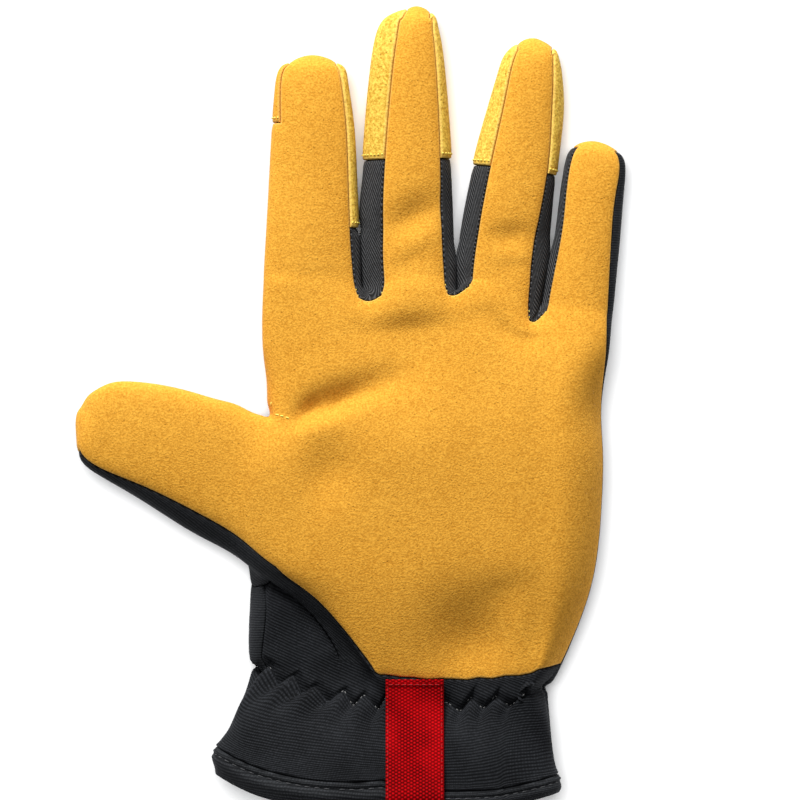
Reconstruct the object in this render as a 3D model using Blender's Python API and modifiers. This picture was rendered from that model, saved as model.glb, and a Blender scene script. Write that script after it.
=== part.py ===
"""Mechanic glove for the left hand, lying on its back with the palm up.

Millimetres inside, metres in the meshes. +Y runs to the fingertips, +Z up out of the palm.
One smooth shell is divided along its seams, and each panel is given its own wall.
"""
import math
from collections import namedtuple

import bmesh
import bpy
import numpy as np
from mathutils import Vector
from mathutils.bvhtree import BVHTree

MILLIMETRE = 0.001

# Fingers: length from the knuckle row, width and thickness of the closed finger
INDEX_LENGTH = 75.5
INDEX_WIDTH = 27.5
INDEX_THICK = 17.5
MIDDLE_LENGTH = 92.0
MIDDLE_WIDTH = 28.2
MIDDLE_THICK = 18.0
RING_LENGTH = 84.5
RING_WIDTH = 25.6
RING_THICK = 17.5
LITTLE_LENGTH = 56.0
LITTLE_WIDTH = 21.0
LITTLE_THICK = 16.0
THUMB_LENGTH = 69.6
THUMB_WIDTH = 32.0
THUMB_THICK = 20.0

# Lean of each axis to the right of straight up, in degrees
INDEX_LEAN = 0.0
MIDDLE_LEAN = -1.0
RING_LEAN = 7.6
LITTLE_LEAN = 6.9
THUMB_LEAN = -71.2

# Palm and wrist
PALM_LENGTH = 121.6
PALM_THICK = 25.0
FINGER_GAP = 0.9
CROTCH_LIFT = 1.0
BACK_SINK = 0.9

# Cuff and hem
CUFF_LENGTH = 27.0
CUFF_SQUARE = 2.6
CUFF_EVENING = 0.75
MOUTH_THICK = 25.0
HEM_HEIGHT = 7.2
HEM_SWELL = 0.5
GATHER_PITCH = 7.7
GATHER_DEPTH = 0.5
GATHERS_FROM = 1.06
GATHERS_FADE = 1.25

# Walls and the gap kept at every seam
PALM_WALL = 1.2
PATCH_WALL = 1.3
PATCH_PROUD = 0.2
BACK_WALL = 1.5
SIDE_WALL = 1.2
GUSSET_WALL = 1.6
CUFF_WALL = 2.0
HEM_WALL = 2.2
SEAM_GAP = 0.3

# Pull tab
TAB_WIDTH = 18.6
TAB_THICK = 1.1
TAB_CLEARANCE = 0.35
TAB_ACROSS = 0.435
TAB_TOP = 1.0
TAB_INNER_LEG = 8.0
TAB_STATIONS = 12
TAB_COLUMNS = (-0.5, -0.25, 0.0, 0.25, 0.5)
TAB_REACHES = (-1.0, -0.5, 0.0, 0.5, 1.0)

SUBDIVISION = 1
FIT_ROUNDS = 9

# Heights on a finger section, as shares of its thickness
SEAM_HEIGHT = 0.90
UPPER_SIDE_HEIGHT = 0.62
LOWER_SIDE_HEIGHT = 0.30
SOLE_HEIGHT = 0.03
SOLE_INSET = 0.62
SOLE_REACH = 0.86
UPPER_SIDE_REACH = 0.985
LOWER_SIDE_REACH = 0.955
TIP_HEIGHTS = (0.66, 0.30)
KNUCKLE_RISE = 1.08

# Rows of the palm: how far in the back starts, and how fast the row rises from its edges
BACK_INSET_LEFT = 0.02
BACK_INSET_RIGHT = 0.05
CROTCH_SPREAD = 0.2
EDGE_RISE = 1.6
EDGE_ROUNDING = 0.7
OUTLINE_SAMPLES = 361

Station = namedtuple("Station", "along skew left_edge left_seam right_seam right_edge depth")
Tip = namedtuple("Tip", "along left right")
Digit = namedtuple("Digit", "name length width thick lean rise reach_left reach_right base stations tip")
Row = namedtuple("Row", "left_down right_down bow left right left_height right_height crown thick")
Side = namedtuple("Side", "across down height")
Ring = namedtuple("Ring", "top right low left")
Dent = namedtuple("Dent", "across down half_length upper lower turn depth")
Panel = namedtuple("Panel", "name wall proud material")

# Sections along each digit: positions are shares of its length and width, depth of its thickness
INDEX_STATIONS = (
    Station(0.090, 0.0, -0.540, -0.435, 0.500, 0.570, 1.00),
    Station(0.271, 0.0, -0.512, -0.407, 0.465, 0.564, 1.00),
    Station(0.517, 0.0, -0.477, -0.372, 0.448, 0.541, 1.00),
    Station(0.716, 0.0, -0.442, -0.349, 0.424, 0.506, 0.97),
    Station(0.890, 0.0, -0.385, -0.345, 0.368, 0.435, 0.86),
    Station(0.962, 0.0, -0.290, -0.262, 0.300, 0.355, 0.66),
)
MIDDLE_STATIONS = (
    Station(0.070, 0.0, -0.590, -0.362, 0.338, 0.459, 1.00),
    Station(0.200, 0.0, -0.603, -0.370, 0.323, 0.459, 1.00),
    Station(0.472, 0.0, -0.563, -0.325, 0.316, 0.435, 1.00),
    Station(0.836, 0.0, -0.424, -0.197, 0.280, 0.360, 0.90),
    Station(0.957, 0.0, -0.255, -0.110, 0.215, 0.250, 0.68),
)
RING_STATIONS = (
    Station(0.080, 0.0, -0.560, -0.380, 0.350, 0.515, 1.00),
    Station(0.230, 0.0, -0.600, -0.385, 0.340, 0.532, 1.00),
    Station(0.500, 0.0, -0.544, -0.339, 0.389, 0.506, 1.00),
    Station(0.730, 0.0, -0.446, -0.275, 0.345, 0.486, 0.95),
    Station(0.872, 0.0, -0.373, -0.243, 0.303, 0.408, 0.86),
    Station(0.950, 0.0, -0.280, -0.190, 0.240, 0.300, 0.68),
)
LITTLE_STATIONS = (
    Station(0.120, 0.0, -0.500, -0.415, 0.405, 0.539, 1.00),
    Station(0.420, 0.0, -0.478, -0.365, 0.382, 0.536, 1.00),
    Station(0.675, 0.0, -0.477, -0.379, 0.373, 0.516, 0.97),
    Station(0.870, 0.0, -0.456, -0.366, 0.395, 0.491, 0.86),
    Station(0.960, 0.0, -0.350, -0.285, 0.290, 0.350, 0.68),
)
THUMB_STATIONS = (
    Station(0.205, 0.085, -0.730, -0.545, 0.615, 0.715, 1.00),
    Station(0.370, 0.035, -0.645, -0.445, 0.608, 0.703, 0.98),
    Station(0.610, 0.000, -0.508, -0.368, 0.588, 0.678, 0.94),
    Station(0.845, 0.000, -0.400, -0.330, 0.498, 0.575, 0.84),
    Station(0.945, 0.000, -0.265, -0.225, 0.370, 0.420, 0.66),
)

# Palm rows below the knuckles: downs are shares of the palm length, the others of the knuckle span
PALM_ROWS = (
    Row(0.132, 0.145, 0.00, 0.030, 0.968, 0.84, 0.82, 0.04, 0.84),
    Row(0.322, 0.276, 0.00, 0.034, 0.951, 0.84, 0.50, 0.10, 0.95),
    Row(0.432, 0.400, 0.00, -0.006, 0.951, 0.90, 0.50, 0.10, 1.00),
    Row(0.558, 0.526, 0.00, 0.000, 0.948, 0.90, 0.50, 0.08, 1.00),
    Row(0.705, 0.660, 0.00, 0.037, 0.941, 0.86, 0.50, 0.08, 1.00),
    Row(0.808, 0.803, 0.00, 0.172, 0.915, 0.84, 0.50, 0.10, 0.98),
    Row(0.985, 0.963, 0.03, 0.311, 0.855, 0.90, 0.50, 0.08, 0.92),
    Row(1.050, 1.021, 0.03, 0.300, 0.823, 0.93, 0.52, 0.06, 0.88),
)
THUMB_FIRST_ROW = 2
THUMB_LAST_ROW = 5
EDGE_ROW = 7
SEWN_ROW = 8

# Left side of the palm where it is no finger side: three points per row, heights as shares of the row
LEFT_SIDE = {
    2: (Side(0.006, 0.308, 0.60), Side(0.003, 0.304, 0.30), Side(0.030, 0.316, 0.02)),
    5: (Side(0.018, 0.745, 0.62), Side(-0.006, 0.755, 0.50), Side(-0.036, 0.742, 0.10)),
    6: (Side(0.138, 0.832, 0.66), Side(0.003, 0.853, 0.56), Side(-0.038, 0.847, 0.12)),
    7: (Side(0.219, 0.953, 0.74), Side(-0.008, 0.953, 0.56), Side(-0.023, 0.958, 0.12)),
    8: (Side(0.180, 1.030, 0.82), Side(0.004, 0.985, 0.58), Side(-0.018, 0.983, 0.12)),
}

# Little finger side: two points per row, across counted from the row's right end
OUTER_SIDE_FIRST = (Side(0.013, 0.0, 0.60), Side(0.008, 0.0, 0.30))
OUTER_SIDE = (Side(0.000, 0.0, 0.34), Side(-0.012, 0.0, 0.14))

# Cuff sections: how far they widen as shares of the knuckle span, and drop as shares of the cuff length
CuffRow = namedtuple("CuffRow", "share left_out right_out left_down middle_down right_down")
CUFF_ROWS = (
    CuffRow(0.50, -0.062, 0.014, 0.08, 0.52, 0.31),
    CuffRow(1.00, -0.118, 0.024, 0.60, 1.02, 0.78),
)
SEWN_Y = -PALM_LENGTH * (0.5 * (PALM_ROWS[-1].left_down + PALM_ROWS[-1].right_down) + PALM_ROWS[-1].bow)

# Main dents and folds of the palm, a mound where the depth is below zero: places in shares,
# sizes and depths in millimetres, the half width above the fold and below it, turn in degrees
DENTS = (
    Dent(0.599, 0.899, 15.0, 15.0, 14.0, 14.0, 5.2),
    Dent(0.703, 0.772, 9.0, 6.0, 9.0, 20.0, 1.2),
    Dent(0.479, 1.072, 30.0, 22.0, 10.0, 0.0, 3.6),
    Dent(0.215, 0.270, 12.5, 5.2, 3.8, 22.0, 4.2),
    Dent(0.350, 0.215, 8.0, 5.0, 6.0, 14.0, 1.2),
    Dent(0.163, 0.336, 7.0, 4.0, 5.0, 10.0, -0.6),
    Dent(0.209, 0.451, 8.0, 8.5, 10.0, 0.0, 1.7),
    Dent(0.407, 0.086, 15.0, 4.8, 22.0, 4.0, 2.8),
    Dent(0.628, 0.046, 6.0, 3.0, 6.0, 10.0, 0.6),
    Dent(0.697, 0.086, 5.0, 2.2, 4.0, -50.0, 0.9),
    Dent(0.766, 0.109, 4.5, 2.2, 4.0, -10.0, 1.0),
    Dent(0.430, -0.212, 10.0, 5.5, 5.0, 28.0, 2.3),
    Dent(0.436, -0.106, 8.0, 3.0, 4.0, 28.0, 0.5),
    Dent(0.708, -0.162, 7.5, 4.0, 5.0, 2.0, 1.5),
    Dent(0.711, -0.085, 6.0, 2.5, 3.5, 0.0, 0.4),
    Dent(0.120, -0.096, 15.0, 24.0, 8.0, 0.0, -1.4),
    Dent(0.895, -0.001, 11.0, 22.0, 9.0, 0.0, -1.4),
    Dent(0.938, 0.451, 54.0, 18.0, 30.0, 90.0, -4.6),
)

INDEX = Digit(
    "index", INDEX_LENGTH, INDEX_WIDTH, INDEX_THICK, INDEX_LEAN, 0.018, 0.547, 0.575,
    Station(-0.010, -0.015, -0.547, -0.442, 0.575, 0.605, 1.0), INDEX_STATIONS, Tip(1.0, -0.10, 0.15))
MIDDLE = Digit(
    "middle", MIDDLE_LENGTH, MIDDLE_WIDTH, MIDDLE_THICK, MIDDLE_LEAN, 0.010, 0.603, 0.459,
    Station(0.0, 0.0, -0.500, -0.395, 0.375, 0.459, 1.0), MIDDLE_STATIONS, Tip(1.0, -0.02, 0.14))
RING = Digit(
    "ring", RING_LENGTH, RING_WIDTH, RING_THICK, RING_LEAN, -0.006, 0.507, 0.508,
    Station(-0.010, -0.050, -0.500, -0.405, 0.400, 0.508, 1.0), RING_STATIONS, Tip(1.0, -0.04, 0.06))
LITTLE = Digit(
    "little", LITTLE_LENGTH, LITTLE_WIDTH, LITTLE_THICK, LITTLE_LEAN, -0.045, 0.511, 0.539,
    Station(0.0, 0.0, -0.500, -0.455, 0.412, 0.539, 1.0), LITTLE_STATIONS, Tip(1.0, -0.12, 0.08))
THUMB = Digit(
    "thumb", THUMB_LENGTH, THUMB_WIDTH, THUMB_THICK, THUMB_LEAN, 0.0, 0.0, 0.0,
    None, THUMB_STATIONS, Tip(1.0, -0.12, 0.33))
FINGERS = (INDEX, MIDDLE, RING, LITTLE)
THUMB_ORIGIN = Side(0.052, 0.516, 0.0)

# First section above which the side of the fingertip is a suede patch
PATCH_FROM = {
    ("index", "left"): 4,
    ("index", "right"): 2,
    ("middle", "left"): 3,
    ("middle", "right"): 3,
    ("ring", "left"): 3,
    ("ring", "right"): 3,
}
SIDE_PIECE = {
    ("index", "right"): "fourchette_index_middle",
    ("middle", "left"): "fourchette_index_middle",
    ("middle", "right"): "fourchette_middle_ring",
    ("ring", "left"): "fourchette_middle_ring",
    ("ring", "right"): "fourchette_ring_little",
    ("little", "left"): "fourchette_ring_little",
    ("little", "right"): "back_panel",
}
CROTCH_PIECES = ("fourchette_index_middle", "fourchette_middle_ring", "fourchette_ring_little")

MATERIALS = {
    "tan_suede": ((0.76, 0.36, 0.045, 1.0), 0.85),
    "bright_suede": ((0.87, 0.56, 0.11, 1.0), 0.9),
    "black_twill": ((0.027, 0.028, 0.029, 1.0), 0.85),
    "black_knit": ((0.018, 0.020, 0.024, 1.0), 0.85),
    "ribbed_knit": ((0.014, 0.016, 0.020, 1.0), 0.9),
    "red_webbing": ((0.22, 0.004, 0.005, 1.0), 0.7),
}

PANELS = (
    Panel("palm_panel", PALM_WALL, 0.0, "tan_suede"),
    Panel("patch_index_left", PATCH_WALL, PATCH_PROUD, "bright_suede"),
    Panel("patch_index_right", PATCH_WALL, PATCH_PROUD, "bright_suede"),
    Panel("patch_middle_left", PATCH_WALL, PATCH_PROUD, "bright_suede"),
    Panel("patch_middle_right", PATCH_WALL, PATCH_PROUD, "bright_suede"),
    Panel("patch_ring_left", PATCH_WALL, PATCH_PROUD, "bright_suede"),
    Panel("patch_ring_right", PATCH_WALL, PATCH_PROUD, "bright_suede"),
    Panel("fourchette_index_middle", SIDE_WALL, 0.0, "black_twill"),
    Panel("fourchette_middle_ring", SIDE_WALL, 0.0, "black_twill"),
    Panel("fourchette_ring_little", SIDE_WALL, 0.0, "black_twill"),
    Panel("thumb_back", BACK_WALL, 0.0, "black_knit"),
    Panel("back_panel", BACK_WALL, 0.0, "black_knit"),
    Panel("wrist_gusset", GUSSET_WALL, 0.0, "ribbed_knit"),
    Panel("cuff", CUFF_WALL, 0.0, "ribbed_knit"),
    Panel("hem_binding", HEM_WALL, 0.0, "black_knit"),
)
PANEL_INDEX = {panel.name: number for number, panel in enumerate(PANELS)}


def lerp(a, b, share):
    return a + (b - a) * share


class Cage:
    """Coarse quads with the place that the smooth surface has to pass through at each corner."""

    def __init__(self):
        self.targets = []
        self.faces = []
        self.tags = []

    def point(self, place):
        self.targets.append(tuple(place))
        return len(self.targets) - 1

    def quad(self, a, b, c, d, panel):
        self.faces.append((a, b, c, d))
        self.tags.append(PANEL_INDEX[panel])

    def strip(self, first, second, panel_of):
        for k in range(len(first) - 1):
            self.quad(first[k], first[k + 1], second[k + 1], second[k], panel_of(k))


def finger_origins():
    """Axis of each finger on the knuckle row, side by side with the finger gap between them."""
    origins = []
    x = 0.0
    for number, digit in enumerate(FINGERS):
        x += digit.reach_left * digit.width
        if number > 0:
            x += FINGERS[number - 1].reach_right * FINGERS[number - 1].width + FINGER_GAP
        origins.append((x, digit.rise * PALM_LENGTH))
    return origins


ORIGINS = finger_origins()
SPAN = ORIGINS[-1][0] + LITTLE.reach_right * LITTLE.width


def palm_place(across, down, height):
    return (across * SPAN, -down * PALM_LENGTH, height)


def digit_place(digit, origin, along, across, height):
    lean = math.radians(digit.lean)
    ahead = (math.sin(lean), math.cos(lean))
    aside = (math.cos(lean), -math.sin(lean))
    run = along * digit.length
    off = across * digit.width
    x = origin[0] + run * ahead[0] + off * aside[0]
    y = origin[1] + run * ahead[1] + off * aside[1]
    return (x, y, height)


def section_height(digit, station, share):
    """Height of a share of the section: a shallower section near the tip keeps its middle."""
    middle = 0.46 * digit.thick
    full = share * digit.thick
    return middle + (full - middle) * station.depth


def side_points(cage, digit, origin, station, name):
    sign = 1.0
    edge = station.right_edge
    if name == "left":
        sign = -1.0
        edge = station.left_edge
    along = station.along + sign * station.skew
    upper = digit_place(digit, origin, along, edge * UPPER_SIDE_REACH,
                        section_height(digit, station, UPPER_SIDE_HEIGHT))
    lower = digit_place(digit, origin, along, edge * LOWER_SIDE_REACH,
                        section_height(digit, station, LOWER_SIDE_HEIGHT))
    return [cage.point(upper), cage.point(lower)]


def digit_ring(cage, digit, origin, station, cells):
    """One closed section: cells quads on the palm side and below, three on each side."""
    top = []
    low = []
    for step in range(cells + 1):
        share = step / cells
        along = station.along + station.skew * (2.0 * share - 1.0)
        across = lerp(station.left_seam, station.right_seam, share)
        swell = 1.0 - (2.0 * share - 1.0) ** 2
        height = section_height(digit, station, lerp(SEAM_HEIGHT, 1.0, swell))
        top.append(cage.point(digit_place(digit, origin, along, across, height)))
        sole = lerp(station.left_edge, station.right_edge, share)
        sole = lerp(sole, across, 1.0 - SOLE_INSET)
        sunk = section_height(digit, station, SOLE_HEIGHT) - BACK_SINK * swell
        low.append(cage.point(digit_place(digit, origin, along, sole * SOLE_REACH, sunk)))
    right = [top[-1]] + side_points(cage, digit, origin, station, "right") + [low[-1]]
    left = [top[0]] + side_points(cage, digit, origin, station, "left") + [low[0]]
    return Ring(top, right, low, left)


def strip_panel(digit, name, section, k):
    """Panel on the side of a digit, k counted from the palm side down."""
    key = (digit.name, name)
    if digit.name == "thumb":
        if name == "right" and k < 2:
            return "palm_panel"
        return "thumb_back"
    if key == ("index", "left"):
        if k == 2:
            return "back_panel"
        if section >= PATCH_FROM[key]:
            return "patch_index_left"
        return "palm_panel"
    if section >= PATCH_FROM.get(key, len(digit.stations) + 1):
        return "patch_" + digit.name + "_" + name
    return SIDE_PIECE[key]


def join_rings(cage, digit, lower, upper, section):
    back = "thumb_back" if digit.name == "thumb" else "back_panel"
    cage.strip(lower.top, upper.top, lambda k: "palm_panel")
    cage.strip(lower.low, upper.low, lambda k: back)
    cage.strip(lower.right, upper.right, lambda k: strip_panel(digit, "right", section, k))
    cage.strip(lower.left, upper.left, lambda k: strip_panel(digit, "left", section, k))


def close_tip(cage, digit, origin, ring, cells):
    """Quads over the end of a digit, suede above and knit below."""
    back = "thumb_back" if digit.name == "thumb" else "back_panel"
    last = digit.stations[-1]
    grid = [ring.top]
    for height_share in TIP_HEIGHTS:
        height = section_height(digit, last, height_share)
        line = []
        for step in range(1, cells):
            across = lerp(digit.tip.left, digit.tip.right, step / cells)
            line.append(cage.point(digit_place(digit, origin, digit.tip.along, across, height)))
        grid.append(line)
    grid.append(ring.low)
    grid[1] = [ring.left[1]] + grid[1] + [ring.right[1]]
    grid[2] = [ring.left[2]] + grid[2] + [ring.right[2]]
    for k in range(3):
        cage.strip(grid[k], grid[k + 1], lambda step, k=k: "palm_panel" if k < 2 else back)


def grow_digit(cage, digit, origin, base, cells):
    ring = base
    for section, station in enumerate(digit.stations):
        following = digit_ring(cage, digit, origin, station, cells)
        join_rings(cage, digit, ring, following, section)
        ring = following
    close_tip(cage, digit, origin, ring, cells)


def column_shares(row_share):
    """Palm columns: under the fingers at the knuckles, evenly spread at the wrist."""
    knuckle = []
    for digit, origin in zip(FINGERS, ORIGINS):
        for across in (digit.base.left_seam, 0.5 * (digit.base.left_seam + digit.base.right_seam),
                       digit.base.right_seam):
            knuckle.append(origin[0] + across * digit.width)
    first = knuckle[0]
    last = knuckle[-1]
    shares = []
    for number, x in enumerate(knuckle):
        shares.append(lerp((x - first) / (last - first), number / (len(knuckle) - 1), row_share))
    return shares


def palm_row(cage, row, row_share, low_left):
    """One row of the palm side and the row of the back below it, spread to its own left end."""
    top = []
    low = []
    thick = row.thick * PALM_THICK
    for share in column_shares(row_share):
        across = lerp(row.left, row.right, share)
        down = lerp(row.left_down, row.right_down, share) + row.bow * 4.0 * share * (1.0 - share)
        edge = lerp(row.left_height, row.right_height, share ** 3)
        swell = 1.0 - abs(2.0 * share - 1.0) ** 3
        crowned = 1.0 - row.crown * (1.0 - swell)
        rise = lerp(edge, crowned, min(1.0, EDGE_RISE * swell ** EDGE_ROUNDING))
        top.append(cage.point(palm_place(across, down, rise * thick)))
        below = lerp(low_left, row.right - BACK_INSET_RIGHT, share)
        low.append(cage.point(palm_place(below, down, -BACK_SINK)))
    return top, low


def knuckle_row(cage):
    """Top and lower points where the fingers start, three for each finger."""
    top = []
    low = []
    for digit, origin in zip(FINGERS, ORIGINS):
        base = digit.base
        for step in range(3):
            share = step / 2.0
            across = lerp(base.left_seam, base.right_seam, share)
            swell = 1.0 - (2.0 * share - 1.0) ** 2
            height = digit.thick * lerp(SEAM_HEIGHT, 1.0, swell) * KNUCKLE_RISE
            along = base.along + base.skew * (2.0 * share - 1.0)
            place = digit_place(digit, origin, along, across, height)
            top.append(cage.point(place))
            low.append(cage.point((place[0], place[1], -BACK_SINK)))
    return top, low


def crotch_points(cage, number):
    """The two upright lines of points where two fingers part."""
    left_digit = FINGERS[number]
    right_digit = FINGERS[number + 1]
    left_x = ORIGINS[number][0] + left_digit.reach_right * left_digit.width
    right_x = ORIGINS[number + 1][0] - right_digit.reach_left * right_digit.width
    y = 0.5 * (ORIGINS[number][1] + ORIGINS[number + 1][1]) + CROTCH_LIFT
    lines = []
    for x, out in ((left_x, -1.0), (right_x, 1.0)):
        line = []
        for height in (UPPER_SIDE_HEIGHT, LOWER_SIDE_HEIGHT):
            place = (x + out * CROTCH_SPREAD, y, height * left_digit.thick)
            line.append(cage.point(place))
        lines.append(line)
    return lines


def outer_side(cage, row, number):
    """Two points on the little finger side of a palm row, between the seam and the back."""
    thick = row.thick * PALM_THICK
    down = row.right_down
    points = []
    for side in OUTER_SIDE_FIRST if number == 1 else OUTER_SIDE:
        points.append(cage.point(palm_place(row.right + side.across, down, side.height * thick)))
    return points


def build_hand(cage):
    """Palm, back, fingers and thumb down to the row where the cuff is sewn on."""
    top_rows = []
    low_rows = []
    top, low = knuckle_row(cage)
    top_rows.append(top)
    low_rows.append(low)
    for number, row in enumerate(PALM_ROWS, start=1):
        low_left = row.left + BACK_INSET_LEFT
        if number in LEFT_SIDE:
            low_left = LEFT_SIDE[number][2].across
        top, low = palm_row(cage, row, number / len(PALM_ROWS), low_left)
        top_rows.append(top)
        low_rows.append(low)

    left_sides = {}
    right_sides = {}
    crotches = [crotch_points(cage, number) for number in range(3)]
    for number in range(len(PALM_ROWS) + 1):
        if number == 0:
            left = side_points(cage, INDEX, ORIGINS[0], INDEX.base, "left")
            right = side_points(cage, LITTLE, ORIGINS[3], LITTLE.base, "right")
        else:
            row = PALM_ROWS[number - 1]
            right = outer_side(cage, row, number)
            if number == 1:
                thick = row.thick * PALM_THICK
                left = [cage.point(palm_place(0.0, row.left_down, UPPER_SIDE_HEIGHT * thick)),
                        cage.point(palm_place(0.004, row.left_down, LOWER_SIDE_HEIGHT * thick))]
            elif number in LEFT_SIDE:
                thick = row.thick * PALM_THICK
                upper, lower, sole = LEFT_SIDE[number]
                left = [cage.point(palm_place(upper.across, upper.down, upper.height * thick)),
                        cage.point(palm_place(lower.across, lower.down, lower.height * thick))]
                cage.targets[low_rows[number][0]] = palm_place(sole.across, sole.down, sole.height * thick)
            else:
                left = None
        if left is not None:
            left_sides[number] = [top_rows[number][0]] + left + [low_rows[number][0]]
        right_sides[number] = [top_rows[number][-1]] + right + [low_rows[number][-1]]

    for number in range(SEWN_ROW):
        front = "palm_panel" if number < EDGE_ROW else "wrist_gusset"
        cage.strip(top_rows[number], top_rows[number + 1], lambda k: front)
        cage.strip(low_rows[number], low_rows[number + 1], lambda k: "back_panel")
        cage.strip(right_sides[number], right_sides[number + 1], lambda k: "back_panel")
        if number < THUMB_FIRST_ROW:
            cage.strip(left_sides[number], left_sides[number + 1],
                       lambda k: "palm_panel" if k < 2 else "back_panel")
        elif number >= THUMB_LAST_ROW:
            names = ("thumb_back", "wrist_gusset", "back_panel")
            if number >= EDGE_ROW:
                names = ("wrist_gusset", "wrist_gusset", "back_panel")
            cage.strip(left_sides[number], left_sides[number + 1], lambda k: names[k])

    for number in range(3):
        col = 3 * number + 2
        left_line = [top_rows[0][col]] + crotches[number][0] + [low_rows[0][col]]
        right_line = [top_rows[0][col + 1]] + crotches[number][1] + [low_rows[0][col + 1]]
        cage.strip(left_line, right_line, lambda k: CROTCH_PIECES[number])

    for number, digit in enumerate(FINGERS):
        col = 3 * number
        if number == 0:
            left = left_sides[0]
        else:
            left = [top_rows[0][col]] + crotches[number - 1][1] + [low_rows[0][col]]
        if number == 3:
            right = right_sides[0]
        else:
            right = [top_rows[0][col + 2]] + crotches[number][0] + [low_rows[0][col + 2]]
        base = Ring(top_rows[0][col:col + 3], right, low_rows[0][col:col + 3], left)
        grow_digit(cage, digit, ORIGINS[number], base, 2)

    rows = range(THUMB_LAST_ROW, THUMB_FIRST_ROW - 1, -1)
    base = Ring([top_rows[r][0] for r in rows], left_sides[THUMB_FIRST_ROW],
                [low_rows[r][0] for r in rows], left_sides[THUMB_LAST_ROW])
    origin = palm_place(THUMB_ORIGIN.across, THUMB_ORIGIN.down, 0.0)
    grow_digit(cage, THUMB, origin, base, THUMB_LAST_ROW - THUMB_FIRST_ROW)

    # Closed section at the sewn row: palm side, outer side, back reversed, inner side
    ring = list(top_rows[SEWN_ROW])
    ring += right_sides[SEWN_ROW][1:3]
    ring += reversed(low_rows[SEWN_ROW])
    ring += reversed(left_sides[SEWN_ROW][1:3])
    return ring


def section_outline(half_width, half_thick, start, shares):
    """Places on a rounded flat section, clockwise from a start direction, at shares of its length."""
    turn = start - np.linspace(0.0, 2.0 * math.pi, OUTLINE_SAMPLES)
    aside = np.cos(turn)
    above = np.sin(turn)
    reach = (np.abs(aside) ** CUFF_SQUARE + np.abs(above) ** CUFF_SQUARE) ** (-1.0 / CUFF_SQUARE)
    xs = half_width * aside * reach
    zs = half_thick * above * reach
    run = np.concatenate([[0.0], np.cumsum(np.hypot(np.diff(xs), np.diff(zs)))])
    run /= run[-1]
    return np.interp(shares, run, xs), np.interp(shares, run, zs)


def cuff_section(cage, sewn, row, drop, swell):
    """Section of the cuff, its corners spread more evenly than on the sewn section."""
    places = np.array(sewn)
    low = places.min(axis=0)
    high = places.max(axis=0)
    wide_left = low[0] + row.left_out * SPAN - swell
    wide_right = high[0] + row.right_out * SPAN + swell
    half_thick = 0.5 * lerp(high[2] - low[2], MOUTH_THICK + BACK_SINK, row.share) + swell
    middle = 0.5 * (low + high)
    half = 0.5 * (high - low)
    start = math.atan2((places[0, 2] - middle[2]) / half[2], (places[0, 0] - middle[0]) / half[0])
    steps = np.hypot(*np.diff(places[:, [0, 2]], axis=0, append=places[:1, [0, 2]]).T)
    own = np.concatenate([[0.0], np.cumsum(steps)[:-1]]) / steps.sum()
    even = np.arange(len(sewn)) / len(sewn)
    shares = lerp(own, even, CUFF_EVENING * row.share)
    xs, zs = section_outline(0.5 * (wide_right - wide_left), half_thick, start, shares)
    points = []
    for x, z in zip(xs, zs):
        share = 0.5 + x / (wide_right - wide_left)
        arc = 1.0 - abs(2.0 * share - 1.0) ** CUFF_SQUARE
        side_down = lerp(row.left_down, row.right_down, share)
        down = lerp(side_down, row.middle_down, arc) * CUFF_LENGTH + drop
        place = (0.5 * (wide_left + wide_right) + x, SEWN_Y - down, half_thick - BACK_SINK + z)
        points.append(cage.point(place))
    return points


def build_cuff(cage, ring):
    """Cuff and hem: closed sections from the sewn row to the mouth."""
    sewn = [cage.targets[i] for i in ring]
    rings = [ring]
    for row in CUFF_ROWS:
        rings.append(cuff_section(cage, sewn, row, 0.0, 0.0))
    last = CUFF_ROWS[-1]
    rings.append(cuff_section(cage, sewn, last, 0.5 * HEM_HEIGHT, HEM_SWELL))
    rings.append(cuff_section(cage, sewn, last, HEM_HEIGHT, 0.0))
    for number in range(len(rings) - 1):
        panel = "cuff" if number < len(CUFF_ROWS) else "hem_binding"
        upper = rings[number] + rings[number][:1]
        lower = rings[number + 1] + rings[number + 1][:1]
        cage.strip(upper, lower, lambda k: panel)


def limit_weights(count, faces):
    """Matrix that takes cage corners to their places on the smooth surface."""
    edge_faces = {}
    around = [set() for _ in range(count)]
    across = [[] for _ in range(count)]
    for face in faces:
        for k in range(4):
            here = face[k]
            ahead = face[(k + 1) % 4]
            around[here].add(ahead)
            around[ahead].add(here)
            across[here].append(face[(k + 2) % 4])
            key = (min(here, ahead), max(here, ahead))
            edge_faces[key] = edge_faces.get(key, 0) + 1
    rim = {}
    for (a, b), uses in edge_faces.items():
        if uses == 1:
            rim.setdefault(a, []).append(b)
            rim.setdefault(b, []).append(a)
    matrix = np.zeros((count, count))
    for i in range(count):
        if i in rim:
            matrix[i, i] += 4.0 / 6.0
            for j in rim[i]:
                matrix[i, j] += 1.0 / 6.0
            continue
        valence = len(around[i])
        total = valence * (valence + 5.0)
        matrix[i, i] += valence * valence / total
        for j in around[i]:
            matrix[i, j] += 4.0 / total
        for j in across[i]:
            matrix[i, j] += 1.0 / total
    return matrix


def fitted_corners(cage):
    """Cage corners moved until the smooth surface passes through their targets."""
    targets = np.array(cage.targets)
    matrix = limit_weights(len(targets), cage.faces)
    corners = targets.copy()
    for _ in range(FIT_ROUNDS):
        corners += targets - matrix @ corners
    return corners


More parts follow.
